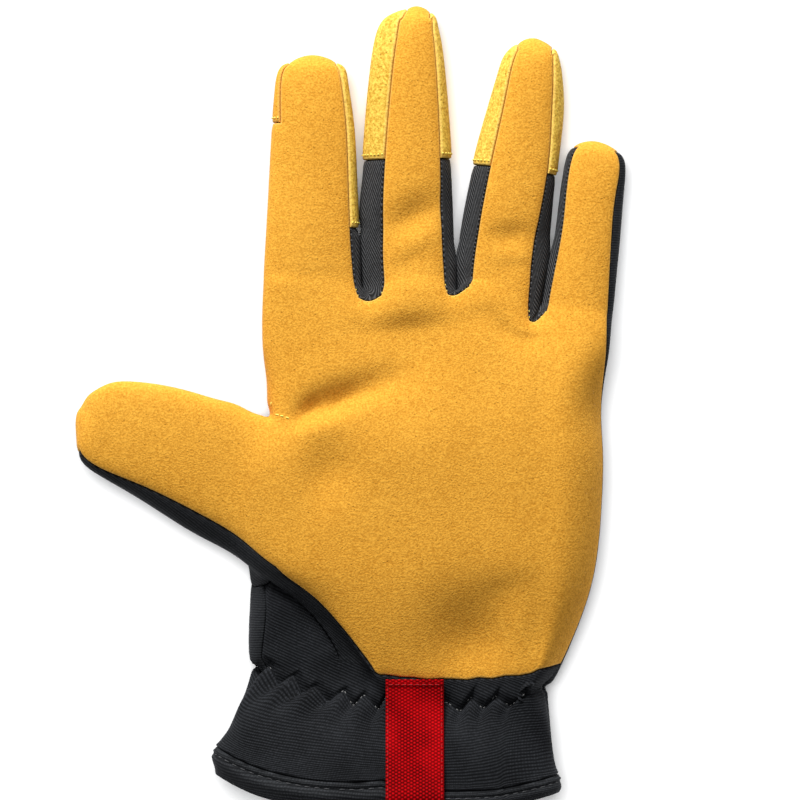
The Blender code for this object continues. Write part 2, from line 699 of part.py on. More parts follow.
def smooth_shell(cage, materials, holder):
    """The whole glove as one smooth surface, with the panel of each face."""
    corners = fitted_corners(cage)
    mesh = bpy.data.meshes.new("glove_cage")
    mesh.from_pydata([tuple(c) for c in corners], [], cage.faces)
    for panel in PANELS:
        mesh.materials.append(materials[panel.material])
    for face, tag in zip(mesh.polygons, cage.tags):
        face.material_index = tag
    work = bmesh.new()
    work.from_mesh(mesh)
    bmesh.ops.recalc_face_normals(work, faces=work.faces)
    highest = max(work.faces, key=lambda f: f.calc_center_median().z)
    if highest.normal.z < 0.0:
        bmesh.ops.reverse_faces(work, faces=work.faces)
    work.to_mesh(mesh)
    work.free()
    cage_object = bpy.data.objects.new("glove_cage", mesh)
    holder.objects.link(cage_object)
    smoother = cage_object.modifiers.new("smooth", "SUBSURF")
    smoother.levels = SUBDIVISION
    smoother.render_levels = SUBDIVISION
    depsgraph = bpy.context.evaluated_depsgraph_get()
    depsgraph.update()
    result = bpy.data.meshes.new_from_object(cage_object.evaluated_get(depsgraph))
    points = np.array([tuple(v.co) for v in result.vertices])
    faces = [tuple(f.vertices) for f in result.polygons]
    tags = [f.material_index for f in result.polygons]
    bpy.data.objects.remove(cage_object, do_unlink=True)
    bpy.data.meshes.remove(result)
    return points, faces, tags


def face_normals(points, faces):
    quads = np.array(faces)
    first = points[quads[:, 2]] - points[quads[:, 0]]
    second = points[quads[:, 3]] - points[quads[:, 1]]
    return np.cross(first, second)


def unit(rows):
    length = np.linalg.norm(rows, axis=-1, keepdims=True)
    return rows / np.maximum(length, 1e-9)


def corner_normals(points, faces):
    normals = np.zeros_like(points)
    for face, normal in zip(faces, face_normals(points, faces)):
        for corner in face:
            normals[corner] += normal
    return unit(normals)


def relief(points, normals):
    """How far each point sinks for the dents of the palm and the gathers of the cuff."""
    sink = np.zeros(len(points))
    facing = np.clip(normals[:, 2], 0.0, 1.0)
    for dent in DENTS:
        place = palm_place(dent.across, dent.down, 0.0)
        turn = math.radians(dent.turn)
        dx = points[:, 0] - place[0]
        dy = points[:, 1] - place[1]
        run = (dx * math.cos(turn) + dy * math.sin(turn)) / dent.half_length
        off = dy * math.cos(turn) - dx * math.sin(turn)
        off = off / np.where(off > 0.0, dent.upper, dent.lower)
        sink += dent.depth * np.exp(-run ** 2 - off ** 2) * facing
    sewn = -PALM_LENGTH * GATHERS_FROM
    below = np.clip((sewn - points[:, 1]) / CUFF_LENGTH, 0.0, 1.0)
    run_out = np.clip(below * GATHERS_FADE, 0.0, 1.0)
    fade = np.where(points[:, 1] < sewn, np.sin(math.pi * run_out), 0.0)
    wave = 0.5 - 0.5 * np.cos(2.0 * math.pi * points[:, 0] / GATHER_PITCH)
    sink += GATHER_DEPTH * fade * wave * np.abs(normals[:, 2])
    return sink


def squared_to_mouth(normals, faces, tags):
    """Wall directions at the mouth turned square to its length, so the thick hem does not fold inside."""
    turned = normals.copy()
    for name, keep in (("cuff", 0.5), ("hem_binding", 0.0)):
        own = {corner for face, tag in zip(faces, tags) if tag == PANEL_INDEX[name] for corner in face}
        if name == "cuff":
            others = {corner for face, tag in zip(faces, tags) if tag != PANEL_INDEX[name] for corner in face}
            own -= others
        for corner in own:
            turned[corner, 1] = normals[corner, 1] * keep
    return unit(turned)


def boundary_pull(points, normals, faces):
    """Shift that draws the edge of a panel back by half the seam gap."""
    half_edges = {}
    for face in faces:
        for k in range(len(face)):
            half_edges[(face[k], face[(k + 1) % len(face)])] = face
    inward = {}
    rim = []
    for (a, b), face in half_edges.items():
        if (b, a) in half_edges:
            continue
        rim.append((a, b))
        run = points[b] - points[a]
        normal = unit(normals[a] + normals[b])
        side = unit(np.cross(normal, run))
        centre = points[list(face)].mean(axis=0)
        if np.dot(centre - points[a], side) < 0.0:
            side = -side
        inward.setdefault(a, []).append(side)
        inward.setdefault(b, []).append(side)
    shifts = {}
    for corner, sides in inward.items():
        total = unit(np.sum(sides, axis=0))
        spread = max(0.5, float(np.dot(total, sides[0])))
        shifts[corner] = total * 0.5 * SEAM_GAP / spread
    return shifts, rim


def panel_mesh(panel, points, normals, faces):
    """Closed wall: outer face, inner face and the rim, split alike in the two panels that share a seam."""
    shifts, rim = boundary_pull(points, normals, faces)
    used = sorted({corner for face in faces for corner in face})
    local = {corner: number for number, corner in enumerate(used)}
    outer = []
    inner = []
    for corner in used:
        place = points[corner] + shifts.get(corner, 0.0) + normals[corner] * panel.proud
        outer.append(place)
        inner.append(place - normals[corner] * panel.wall)
    count = len(used)
    solid_faces = [tuple(local[c] for c in face) for face in faces]
    solid_faces += [tuple(local[c] + count for c in reversed(face)) for face in faces]
    for a, b in rim:
        near = local[a]
        far = local[b]
        if a < b:
            solid_faces.append((far, near, far + count))
            solid_faces.append((near, near + count, far + count))
        else:
            solid_faces.append((far, near, near + count))
            solid_faces.append((far, near + count, far + count))
    return outer + inner, solid_faces


def add_solid(name, corners, faces, material, collection, offset):
    mesh = bpy.data.meshes.new(name)
    placed = [tuple((np.array(c) + offset) * MILLIMETRE) for c in corners]
    mesh.from_pydata(placed, [], faces)
    work = bmesh.new()
    work.from_mesh(mesh)
    bmesh.ops.triangulate(work, faces=work.faces)
    bmesh.ops.recalc_face_normals(work, faces=work.faces)
    work.to_mesh(mesh)
    work.free()
    mesh.materials.append(material)
    item = bpy.data.objects.new(name, mesh)
    collection.objects.link(item)
    return item


def surface_height(tree, x, y, top):
    """Height of the outer or the inner cuff surface over one place, or None beyond the mouth."""
    if top:
        hit = tree.ray_cast(Vector((x, y, 1000.0)), Vector((0.0, 0.0, -1.0)))
    else:
        hit = tree.ray_cast(Vector((x, y, 0.5 * MOUTH_THICK)), Vector((0.0, 0.0, 1.0)))
    if hit[0] is None:
        return None
    return hit[0].z


def tab_line(tree, mouth_y):
    """Inner line of the folded tab in the y-z plane, from its sewn end over the hem and inside."""
    centre = TAB_ACROSS * SPAN
    xs = [centre + TAB_WIDTH * share for share in TAB_COLUMNS]
    start = -PALM_LENGTH * TAB_TOP
    reach = 0.6 * (start - mouth_y) / TAB_STATIONS
    line = []
    for step in range(TAB_STATIONS):
        y = lerp(start, mouth_y, step / (TAB_STATIONS - 1))
        y = max(y, mouth_y + SEAM_GAP)
        near = [y + move * reach for move in TAB_REACHES]
        heights = [surface_height(tree, x, at, True) for x in xs for at in near]
        line.append((y, max(h for h in heights if h is not None) + TAB_CLEARANCE))
    depths = [mouth_y + TAB_INNER_LEG * step / TAB_STATIONS for step in range(TAB_STATIONS + 2)]
    heights = [surface_height(tree, x, y, False) for x in xs for y in depths]
    below = min(h for h in heights if h is not None) - TAB_CLEARANCE
    front = mouth_y - TAB_CLEARANCE
    line[-1] = (front, line[-1][1])
    return line + [(front, below), (mouth_y + TAB_INNER_LEG, below)]


def tab_mesh(tree, mouth_y):
    line = tab_line(tree, mouth_y)
    outer = []
    for number, (y, z) in enumerate(line):
        before = line[max(number - 1, 0)]
        after = line[min(number + 1, len(line) - 1)]
        first = unit(np.array([y - before[0], z - before[1]]))
        second = unit(np.array([after[0] - y, after[1] - z]))
        run = unit(first + second)
        side = np.array([run[1], -run[0]])
        spread = max(0.6, float(np.dot(run, second if number == 0 else first)))
        outer.append((y + side[0] * TAB_THICK / spread, z + side[1] * TAB_THICK / spread))
    profile = line + outer[::-1]
    left = TAB_ACROSS * SPAN - 0.5 * TAB_WIDTH
    corners = []
    for x in (left, left + TAB_WIDTH):
        for y, z in profile:
            corners.append((x, y, z))
    count = len(profile)
    faces = []
    for k in range(count):
        after = (k + 1) % count
        faces.append((k, after, after + count, k + count))
    for k in range(len(line) - 1):
        quad = (k, k + 1, count - 2 - k, count - 1 - k)
        faces.append(quad)
        faces.append(tuple(c + count for c in reversed(quad)))
    return corners, faces


def make_material(name, colour, roughness):
    material = bpy.data.materials.new(name)
    material.use_nodes = True
    shader = material.node_tree.nodes["Principled BSDF"]
    shader.inputs["Base Color"].default_value = colour
    shader.inputs["Roughness"].default_value = roughness
    return material


def main():
    for item in list(bpy.data.objects):
        bpy.data.objects.remove(item, do_unlink=True)
    glove = bpy.data.collections.new("mechanic_glove")
    bpy.context.scene.collection.children.link(glove)
    workshop = bpy.data.collections.new("cage")
    bpy.context.scene.collection.children.link(workshop)
    materials = {name: make_material(name, *values) for name, values in MATERIALS.items()}

    cage = Cage()
    build_cuff(cage, build_hand(cage))
    points, faces, tags = smooth_shell(cage, materials, workshop)
    normals = corner_normals(points, faces)
    points = points - normals * relief(points, normals)[:, None]
    points[:, 2] = np.maximum(points[:, 2], 0.0)
    normals = squared_to_mouth(corner_normals(points, faces), faces, tags)

    meshes = []
    for number, panel in enumerate(PANELS):
        own = [face for face, tag in zip(faces, tags) if tag == number]
        corners, solid_faces = panel_mesh(panel, points, normals, own)
        meshes.append((panel.name, corners, solid_faces, panel.material))

    around_tab = []
    around_faces = []
    for name, corners, solid_faces, _ in meshes:
        if name in ("palm_panel", "wrist_gusset", "cuff", "hem_binding"):
            base = len(around_tab)
            around_tab += [Vector(c) for c in corners]
            around_faces += [tuple(c + base for c in face) for face in solid_faces]
    tree = BVHTree.FromPolygons(around_tab, around_faces)
    centre = TAB_ACROSS * SPAN
    hem = next(m for m in meshes if m[0] == "hem_binding")
    near = [c for c in hem[1] if abs(c[0] - centre) < 0.6 * TAB_WIDTH and c[2] > 0.5 * MOUTH_THICK]
    corners, solid_faces = tab_mesh(tree, min(c[1] for c in near))
    meshes.append(("pull_tab", corners, solid_faces, "red_webbing"))

    places = np.array([c for mesh in meshes for c in mesh[1]])
    low = places.min(axis=0)
    high = places.max(axis=0)
    offset = np.array([-0.5 * (low[0] + high[0]), -0.5 * (low[1] + high[1]), -low[2]])
    for name, corners, solid_faces, material in meshes:
        add_solid(name, corners, solid_faces, materials[material], glove, offset)


main()
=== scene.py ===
"""Looks of the mechanic glove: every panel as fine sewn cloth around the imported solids.

The cage is the same as the part's and is refined further. Millimetres inside, metres in the meshes.
"""

import math
from collections import namedtuple

import bmesh
import bpy
import numpy as np
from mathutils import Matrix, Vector, noise
from mathutils.bvhtree import BVHTree
from mathutils.kdtree import KDTree


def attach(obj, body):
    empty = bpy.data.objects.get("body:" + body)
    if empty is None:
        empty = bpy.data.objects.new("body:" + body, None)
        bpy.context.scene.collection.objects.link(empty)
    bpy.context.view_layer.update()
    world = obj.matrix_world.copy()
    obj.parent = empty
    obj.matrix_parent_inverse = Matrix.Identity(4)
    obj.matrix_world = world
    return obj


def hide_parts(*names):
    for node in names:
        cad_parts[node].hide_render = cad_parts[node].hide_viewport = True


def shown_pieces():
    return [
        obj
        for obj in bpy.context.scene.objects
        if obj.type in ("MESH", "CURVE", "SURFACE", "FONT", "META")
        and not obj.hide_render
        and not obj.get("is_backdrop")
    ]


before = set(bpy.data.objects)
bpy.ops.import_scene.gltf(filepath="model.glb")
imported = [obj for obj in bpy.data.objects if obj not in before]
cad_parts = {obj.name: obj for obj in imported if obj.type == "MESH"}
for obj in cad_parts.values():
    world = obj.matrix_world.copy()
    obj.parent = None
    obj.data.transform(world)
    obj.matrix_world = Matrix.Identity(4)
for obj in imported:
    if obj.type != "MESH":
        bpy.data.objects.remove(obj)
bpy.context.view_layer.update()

MILLIMETRE = 0.001

# Palm and wrist
PALM_LENGTH = 121.6
PALM_THICK = 25.0
FINGER_GAP = 0.9
CROTCH_LIFT = 1.0
BACK_SINK = 0.9

# Cuff and hem
CUFF_LENGTH = 27.0
CUFF_SQUARE = 2.6
CUFF_EVENING = 0.75
MOUTH_THICK = 25.0
HEM_HEIGHT = 7.2
HEM_SWELL = 0.5
# Gap kept at every seam
SEAM_GAP = 0.3

# Pull tab
TAB_WIDTH = 18.6
TAB_THICK = 1.1
TAB_ACROSS = 0.435
TAB_INNER_LEG = 8.0

# Rounds in which the cage is fitted to its targets
FIT_ROUNDS = 9

# Heights and reaches on a finger section, as shares of its thickness and width
SEAM_HEIGHT = 0.90
UPPER_SIDE_HEIGHT = 0.62
LOWER_SIDE_HEIGHT = 0.30
SOLE_HEIGHT = 0.03
SOLE_INSET = 0.62
SOLE_REACH = 0.86
UPPER_SIDE_REACH = 0.985
LOWER_SIDE_REACH = 0.955
TIP_HEIGHTS = (0.66, 0.30)
TIP_ALONG = 1.0
KNUCKLE_RISE = 1.08
SECTION_MIDDLE = 0.46

# Rows of the palm: how far in the back starts, and how fast the row rises from its edges
BACK_INSET_LEFT = 0.02
BACK_INSET_RIGHT = 0.05
CROTCH_SPREAD = 0.2
EDGE_RISE = 1.6
EDGE_ROUNDING = 0.7
OUTLINE_SAMPLES = 361

# How far the wall directions near the mouth keep their lean along the cuff
CUFF_LEAN = 0.5

Station = namedtuple("Station", "along left_edge left_seam right_seam right_edge depth skew",
                     defaults=(0.0,))
Tip = namedtuple("Tip", "left right")
Digit = namedtuple("Digit", "name length width thick lean rise reach_left reach_right base stations tip")
Row = namedtuple("Row", "left_down right_down bow left right left_height right_height crown thick")
Side = namedtuple("Side", "across down height")
Ring = namedtuple("Ring", "top right low left")
Dent = namedtuple("Dent", "across down half_length upper lower turn depth")
Panel = namedtuple("Panel", "name wall material")

# Sections along each digit: positions are shares of its length and width, depth of its thickness
INDEX_STATIONS = (
    Station(0.090, -0.540, -0.435, 0.500, 0.570, 1.00),
    Station(0.271, -0.512, -0.407, 0.465, 0.564, 1.00),
    Station(0.517, -0.477, -0.372, 0.448, 0.541, 1.00),
    Station(0.716, -0.442, -0.349, 0.424, 0.506, 0.97),
    Station(0.890, -0.385, -0.345, 0.368, 0.435, 0.86),
    Station(0.962, -0.290, -0.262, 0.300, 0.355, 0.66),
)
MIDDLE_STATIONS = (
    Station(0.070, -0.590, -0.362, 0.338, 0.459, 1.00),
    Station(0.200, -0.603, -0.370, 0.323, 0.459, 1.00),
    Station(0.472, -0.563, -0.325, 0.316, 0.435, 1.00),
    Station(0.836, -0.424, -0.197, 0.280, 0.360, 0.90),
    Station(0.957, -0.255, -0.110, 0.215, 0.250, 0.68),
)
RING_STATIONS = (
    Station(0.080, -0.560, -0.380, 0.350, 0.515, 1.00),
    Station(0.230, -0.600, -0.385, 0.340, 0.532, 1.00),
    Station(0.500, -0.544, -0.339, 0.389, 0.506, 1.00),
    Station(0.730, -0.446, -0.275, 0.345, 0.486, 0.95),
    Station(0.872, -0.373, -0.243, 0.303, 0.408, 0.86),
    Station(0.950, -0.280, -0.190, 0.240, 0.300, 0.68),
)
LITTLE_STATIONS = (
    Station(0.120, -0.500, -0.415, 0.405, 0.539, 1.00),
    Station(0.420, -0.478, -0.365, 0.382, 0.536, 1.00),
    Station(0.675, -0.477, -0.379, 0.373, 0.516, 0.97),
    Station(0.870, -0.456, -0.366, 0.395, 0.491, 0.86),
    Station(0.960, -0.350, -0.285, 0.290, 0.350, 0.68),
)
THUMB_STATIONS = (
    Station(0.205, -0.730, -0.545, 0.615, 0.715, 1.00, 0.085),
    Station(0.370, -0.645, -0.445, 0.608, 0.703, 0.98, 0.035),
    Station(0.610, -0.508, -0.368, 0.588, 0.678, 0.94),
    Station(0.845, -0.400, -0.330, 0.498, 0.575, 0.84),
    Station(0.945, -0.265, -0.225, 0.370, 0.420, 0.66),
)

# Palm rows below the knuckles: downs are shares of the palm length, the others of the knuckle span
PALM_ROWS = (
    Row(0.132, 0.145, 0.00, 0.030, 0.968, 0.84, 0.82, 0.04, 0.84),
    Row(0.322, 0.276, 0.00, 0.034, 0.951, 0.84, 0.50, 0.10, 0.95),
    Row(0.432, 0.400, 0.00, -0.006, 0.951, 0.90, 0.50, 0.10, 1.00),
    Row(0.558, 0.526, 0.00, 0.000, 0.948, 0.90, 0.50, 0.08, 1.00),
    Row(0.705, 0.660, 0.00, 0.037, 0.941, 0.86, 0.50, 0.08, 1.00),
    Row(0.808, 0.803, 0.00, 0.172, 0.915, 0.84, 0.50, 0.10, 0.98),
    Row(0.985, 0.963, 0.03, 0.311, 0.855, 0.90, 0.50, 0.08, 0.92),
    Row(1.050, 1.021, 0.03, 0.300, 0.823, 0.93, 0.52, 0.06, 0.88),
)
THUMB_FIRST_ROW = 2
THUMB_LAST_ROW = 5
EDGE_ROW = 7
SEWN_ROW = 8

# Left side of the palm: two points per row and one under them, heights as shares of the row
LEFT_SIDE = {
    1: (Side(0.000, 0.132, UPPER_SIDE_HEIGHT), Side(0.004, 0.132, LOWER_SIDE_HEIGHT), None),
    2: (Side(0.006, 0.308, 0.60), Side(0.003, 0.304, 0.30), Side(0.030, 0.316, 0.02)),
    5: (Side(0.018, 0.745, 0.62), Side(-0.006, 0.755, 0.50), Side(-0.036, 0.742, 0.10)),
    6: (Side(0.138, 0.832, 0.66), Side(0.003, 0.853, 0.56), Side(-0.038, 0.847, 0.12)),
    7: (Side(0.219, 0.953, 0.74), Side(-0.008, 0.953, 0.56), Side(-0.023, 0.958, 0.12)),
    8: (Side(0.180, 1.030, 0.82), Side(0.004, 0.985, 0.58), Side(-0.018, 0.983, 0.12)),
}

# Little finger side: two points per row, across counted from the row's right end
OUTER_SIDE_FIRST = (Side(0.013, 0.0, 0.60), Side(0.008, 0.0, 0.30))
OUTER_SIDE = (Side(0.000, 0.0, 0.34), Side(-0.012, 0.0, 0.14))

# Cuff sections: how far they widen as shares of the knuckle span, and drop as shares of the cuff length
CuffRow = namedtuple("CuffRow", "share left_out right_out left_down middle_down right_down")
CUFF_ROWS = (
    CuffRow(0.50, -0.062, 0.014, 0.08, 0.52, 0.31),
    CuffRow(1.00, -0.118, 0.024, 0.60, 1.02, 0.78),
)
SEWN_Y = -PALM_LENGTH * (0.5 * (PALM_ROWS[-1].left_down + PALM_ROWS[-1].right_down) + PALM_ROWS[-1].bow)

# Main dents and folds of the palm, a mound where the depth is below zero: places in shares,
# sizes and depths in millimetres, the half width above the fold and below it, turn in degrees
DENTS = (
    Dent(0.599, 0.899, 15.0, 15.0, 14.0, 14.0, 5.2),
    Dent(0.703, 0.772, 9.0, 6.0, 9.0, 20.0, 1.2),
    Dent(0.479, 1.072, 30.0, 22.0, 10.0, 0.0, 3.6),
    Dent(0.215, 0.270, 12.5, 5.2, 3.8, 22.0, 4.2),
    Dent(0.350, 0.215, 8.0, 5.0, 6.0, 14.0, 1.2),
    Dent(0.163, 0.336, 7.0, 4.0, 5.0, 10.0, -0.6),
    Dent(0.209, 0.451, 8.0, 8.5, 10.0, 0.0, 1.7),
    Dent(0.407, 0.086, 15.0, 4.8, 22.0, 4.0, 2.8),
    Dent(0.628, 0.046, 6.0, 3.0, 6.0, 10.0, 0.6),
    Dent(0.697, 0.086, 5.0, 2.2, 4.0, -50.0, 0.9),
    Dent(0.766, 0.109, 4.5, 2.2, 4.0, -10.0, 1.0),
    Dent(0.430, -0.212, 10.0, 5.5, 5.0, 28.0, 2.3),
    Dent(0.436, -0.106, 8.0, 3.0, 4.0, 28.0, 0.5),
    Dent(0.708, -0.162, 7.5, 4.0, 5.0, 2.0, 1.5),
    Dent(0.711, -0.085, 6.0, 2.5, 3.5, 0.0, 0.4),
    Dent(0.120, -0.096, 15.0, 24.0, 8.0, 0.0, -1.4),
    Dent(0.895, -0.001, 11.0, 22.0, 9.0, 0.0, -1.4),
    Dent(0.938, 0.451, 54.0, 18.0, 30.0, 90.0, -4.6),
)

# Digits: length from the knuckle row, width and thickness of the closed finger, lean to the right
# in degrees, rise of the knuckle in shares of the palm length, reaches in shares of the width
INDEX = Digit(
    "index", 75.5, 27.5, 17.5, 0.0, 0.018, 0.547, 0.575,
    Station(-0.010, -0.547, -0.442, 0.575, 0.605, 1.0, -0.015), INDEX_STATIONS, Tip(-0.10, 0.15))
MIDDLE = Digit(
    "middle", 92.0, 28.2, 18.0, -1.0, 0.010, 0.603, 0.459,
    Station(0.0, -0.500, -0.395, 0.375, 0.459, 1.0), MIDDLE_STATIONS, Tip(-0.02, 0.14))
RING = Digit(
    "ring", 84.5, 25.6, 17.5, 7.6, -0.006, 0.507, 0.508,
    Station(-0.010, -0.500, -0.405, 0.400, 0.508, 1.0, -0.050), RING_STATIONS, Tip(-0.04, 0.06))
LITTLE = Digit(
    "little", 56.0, 21.0, 16.0, 6.9, -0.045, 0.511, 0.539,
    Station(0.0, -0.500, -0.455, 0.412, 0.539, 1.0), LITTLE_STATIONS, Tip(-0.12, 0.08))
THUMB = Digit(
    "thumb", 69.6, 32.0, 20.0, -71.2, 0.0, 0.0, 0.0,
    None, THUMB_STATIONS, Tip(-0.12, 0.33))
FINGERS = (INDEX, MIDDLE, RING, LITTLE)
THUMB_ORIGIN = Side(0.052, 0.516, 0.0)

# First section above which the side of the fingertip is a suede patch
PATCH_FROM = {
    ("index", "left"): 4,
    ("index", "right"): 2,
    ("middle", "left"): 3,
    ("middle", "right"): 3,
    ("ring", "left"): 3,
    ("ring", "right"): 3,
}
SIDE_PIECE = {
    ("index", "right"): "fourchette_index_middle",
    ("middle", "left"): "fourchette_index_middle",
    ("middle", "right"): "fourchette_middle_ring",
    ("ring", "left"): "fourchette_middle_ring",
    ("ring", "right"): "fourchette_ring_little",
    ("little", "left"): "fourchette_ring_little",
    ("little", "right"): "back_panel",
}
CROTCH_PIECES = ("fourchette_index_middle", "fourchette_middle_ring", "fourchette_ring_little")
PATCHES = tuple("patch_" + finger + "_" + side
                for finger in ("index", "middle", "ring") for side in ("left", "right"))

# Walls in millimetres, and what each panel is made of
PANELS = (
    (Panel("palm_panel", 1.2, "tan_suede"),)
    + tuple(Panel(name, 1.3, "bright_suede") for name in PATCHES)
    + tuple(Panel(name, 1.2, "black_twill") for name in CROTCH_PIECES)
    + (Panel("thumb_back", 1.5, "black_knit"),
       Panel("back_panel", 1.5, "black_knit"),
       Panel("wrist_gusset", 1.6, "ribbed_knit"),
       Panel("cuff", 2.0, "ribbed_knit"),
       Panel("hem_binding", 2.2, "black_knit"))
)
PANEL_INDEX = {panel.name: number for number, panel in enumerate(PANELS)}


def lerp(a, b, share):
    return a + (b - a) * share


class Cage:
    """Coarse quads with the place that the smooth surface has to pass through at each corner."""

    def __init__(self):
        self.targets = []
        self.faces = []
        self.tags = []

    def point(self, place):
        self.targets.append(tuple(place))
        return len(self.targets) - 1

    def quad(self, a, b, c, d, panel):
        self.faces.append((a, b, c, d))
        self.tags.append(PANEL_INDEX[panel])

    def strip(self, first, second, panel_of):
        for k in range(len(first) - 1):
            self.quad(first[k], first[k + 1], second[k + 1], second[k], panel_of(k))


def finger_origins():
    """Axis of each finger on the knuckle row, side by side with the finger gap between them."""
    origins = []
    x = 0.0
    for number, digit in enumerate(FINGERS):
        x += digit.reach_left * digit.width
        if number > 0:
            x += FINGERS[number - 1].reach_right * FINGERS[number - 1].width + FINGER_GAP
        origins.append((x, digit.rise * PALM_LENGTH))
    return origins


ORIGINS = finger_origins()
SPAN = ORIGINS[-1][0] + LITTLE.reach_right * LITTLE.width


TAB_START = -PALM_LENGTH
TAB_LEFT = TAB_ACROSS * SPAN - 0.5 * TAB_WIDTH


def palm_place(across, down, height):
    """A place by its shares of the knuckle span and of the palm length."""
    return (across * SPAN, -down * PALM_LENGTH, height)


def digit_place(digit, origin, along, across, height):
    """A place by its shares of a digit's length and width."""
    lean = math.radians(digit.lean)
    ahead = (math.sin(lean), math.cos(lean))
    aside = (math.cos(lean), -math.sin(lean))
    run = along * digit.length
    off = across * digit.width
    x = origin[0] + run * ahead[0] + off * aside[0]
    y = origin[1] + run * ahead[1] + off * aside[1]
    return (x, y, height)


def section_height(digit, station, share):
    """Height of a share of the section: a shallower section near the tip keeps its middle."""
    middle = SECTION_MIDDLE * digit.thick
    full = share * digit.thick
    return middle + (full - middle) * station.depth


def side_points(cage, digit, origin, station, name):
    """Two points on one side of a section."""
    sign = 1.0
    edge = station.right_edge
    if name == "left":
        sign = -1.0
        edge = station.left_edge
    along = station.along + sign * station.skew
    upper = digit_place(digit, origin, along, edge * UPPER_SIDE_REACH,
                        section_height(digit, station, UPPER_SIDE_HEIGHT))
    lower = digit_place(digit, origin, along, edge * LOWER_SIDE_REACH,
                        section_height(digit, station, LOWER_SIDE_HEIGHT))
    return [cage.point(upper), cage.point(lower)]


def digit_ring(cage, digit, origin, station, cells):
    """One closed section: cells quads on the palm side and below, three on each side."""
    top = []
    low = []
    for step in range(cells + 1):
        share = step / cells
        along = station.along + station.skew * (2.0 * share - 1.0)
        across = lerp(station.left_seam, station.right_seam, share)
        swell = 1.0 - (2.0 * share - 1.0) ** 2
        height = section_height(digit, station, lerp(SEAM_HEIGHT, 1.0, swell))
        top.append(cage.point(digit_place(digit, origin, along, across, height)))
        sole = lerp(station.left_edge, station.right_edge, share)
        sole = lerp(sole, across, 1.0 - SOLE_INSET)
        sunk = section_height(digit, station, SOLE_HEIGHT) - BACK_SINK * swell
        low.append(cage.point(digit_place(digit, origin, along, sole * SOLE_REACH, sunk)))
    right = [top[-1]] + side_points(cage, digit, origin, station, "right") + [low[-1]]
    left = [top[0]] + side_points(cage, digit, origin, station, "left") + [low[0]]
    return Ring(top, right, low, left)


def back_of(digit):
    return "thumb_back" if digit.name == "thumb" else "back_panel"


def strip_panel(digit, name, section, k):
    """Panel on the side of a digit, k counted from the palm side down."""
    key = (digit.name, name)
    if digit.name == "thumb":
        if name == "right" and k < 2:
            return "palm_panel"
        return "thumb_back"
    if key == ("index", "left"):
        if k == 2:
            return "back_panel"
        if section >= PATCH_FROM[key]:
            return "patch_index_left"
        return "palm_panel"
    if section >= PATCH_FROM.get(key, len(digit.stations) + 1):
        return "patch_" + digit.name + "_" + name
    return SIDE_PIECE[key]


def join_rings(cage, digit, lower, upper, section):
    """Quads between two sections, each in its panel."""
    back = back_of(digit)
    cage.strip(lower.top, upper.top, lambda k: "palm_panel")
    cage.strip(lower.low, upper.low, lambda k: back)
    cage.strip(lower.right, upper.right, lambda k: strip_panel(digit, "right", section, k))
    cage.strip(lower.left, upper.left, lambda k: strip_panel(digit, "left", section, k))


def close_tip(cage, digit, origin, ring, cells):
    """Quads over the end of a digit, suede above and knit below."""
    back = back_of(digit)
    last = digit.stations[-1]
    grid = [ring.top]
    for height_share in TIP_HEIGHTS:
        height = section_height(digit, last, height_share)
        line = []
        for step in range(1, cells):
            across = lerp(digit.tip.left, digit.tip.right, step / cells)
            line.append(cage.point(digit_place(digit, origin, TIP_ALONG, across, height)))
        grid.append(line)
    grid.append(ring.low)
    grid[1] = [ring.left[1]] + grid[1] + [ring.right[1]]
    grid[2] = [ring.left[2]] + grid[2] + [ring.right[2]]
    for k in range(3):
        cage.strip(grid[k], grid[k + 1], lambda step, k=k: "palm_panel" if k < 2 else back)


def grow_digit(cage, digit, origin, base, cells):
    """A finger or the thumb, section by section."""
    ring = base
    for section, station in enumerate(digit.stations):
        following = digit_ring(cage, digit, origin, station, cells)
        join_rings(cage, digit, ring, following, section)
        ring = following
    close_tip(cage, digit, origin, ring, cells)


def column_shares(row_share):
    """Palm columns: under the fingers at the knuckles, evenly spread at the wrist."""
    knuckle = []
    for digit, origin in zip(FINGERS, ORIGINS):
        for across in (digit.base.left_seam, 0.5 * (digit.base.left_seam + digit.base.right_seam),
                       digit.base.right_seam):
            knuckle.append(origin[0] + across * digit.width)
    first = knuckle[0]
    last = knuckle[-1]
    return [lerp((x - first) / (last - first), number / (len(knuckle) - 1), row_share)
            for number, x in enumerate(knuckle)]


def palm_row(cage, row, row_share, low_left):
    """One row of the palm side and the row of the back below it, spread to its own left end."""
    top = []
    low = []
    thick = row.thick * PALM_THICK
    for share in column_shares(row_share):
        across = lerp(row.left, row.right, share)
        down = lerp(row.left_down, row.right_down, share) + row.bow * 4.0 * share * (1.0 - share)
        edge = lerp(row.left_height, row.right_height, share ** 3)
        swell = 1.0 - abs(2.0 * share - 1.0) ** 3
        crowned = 1.0 - row.crown * (1.0 - swell)
        rise = lerp(edge, crowned, min(1.0, EDGE_RISE * swell ** EDGE_ROUNDING))
        top.append(cage.point(palm_place(across, down, rise * thick)))
        below = lerp(low_left, row.right - BACK_INSET_RIGHT, share)
        low.append(cage.point(palm_place(below, down, -BACK_SINK)))
    return top, low


def knuckle_row(cage):
    """Top and lower points where the fingers start, three for each finger."""
    top = []
    low = []
    for digit, origin in zip(FINGERS, ORIGINS):
        base = digit.base
        for step in range(3):
            share = step / 2.0
            across = lerp(base.left_seam, base.right_seam, share)
            swell = 1.0 - (2.0 * share - 1.0) ** 2
            height = digit.thick * lerp(SEAM_HEIGHT, 1.0, swell) * KNUCKLE_RISE
            along = base.along + base.skew * (2.0 * share - 1.0)
            place = digit_place(digit, origin, along, across, height)
            top.append(cage.point(place))
            low.append(cage.point((place[0], place[1], -BACK_SINK)))
    return top, low


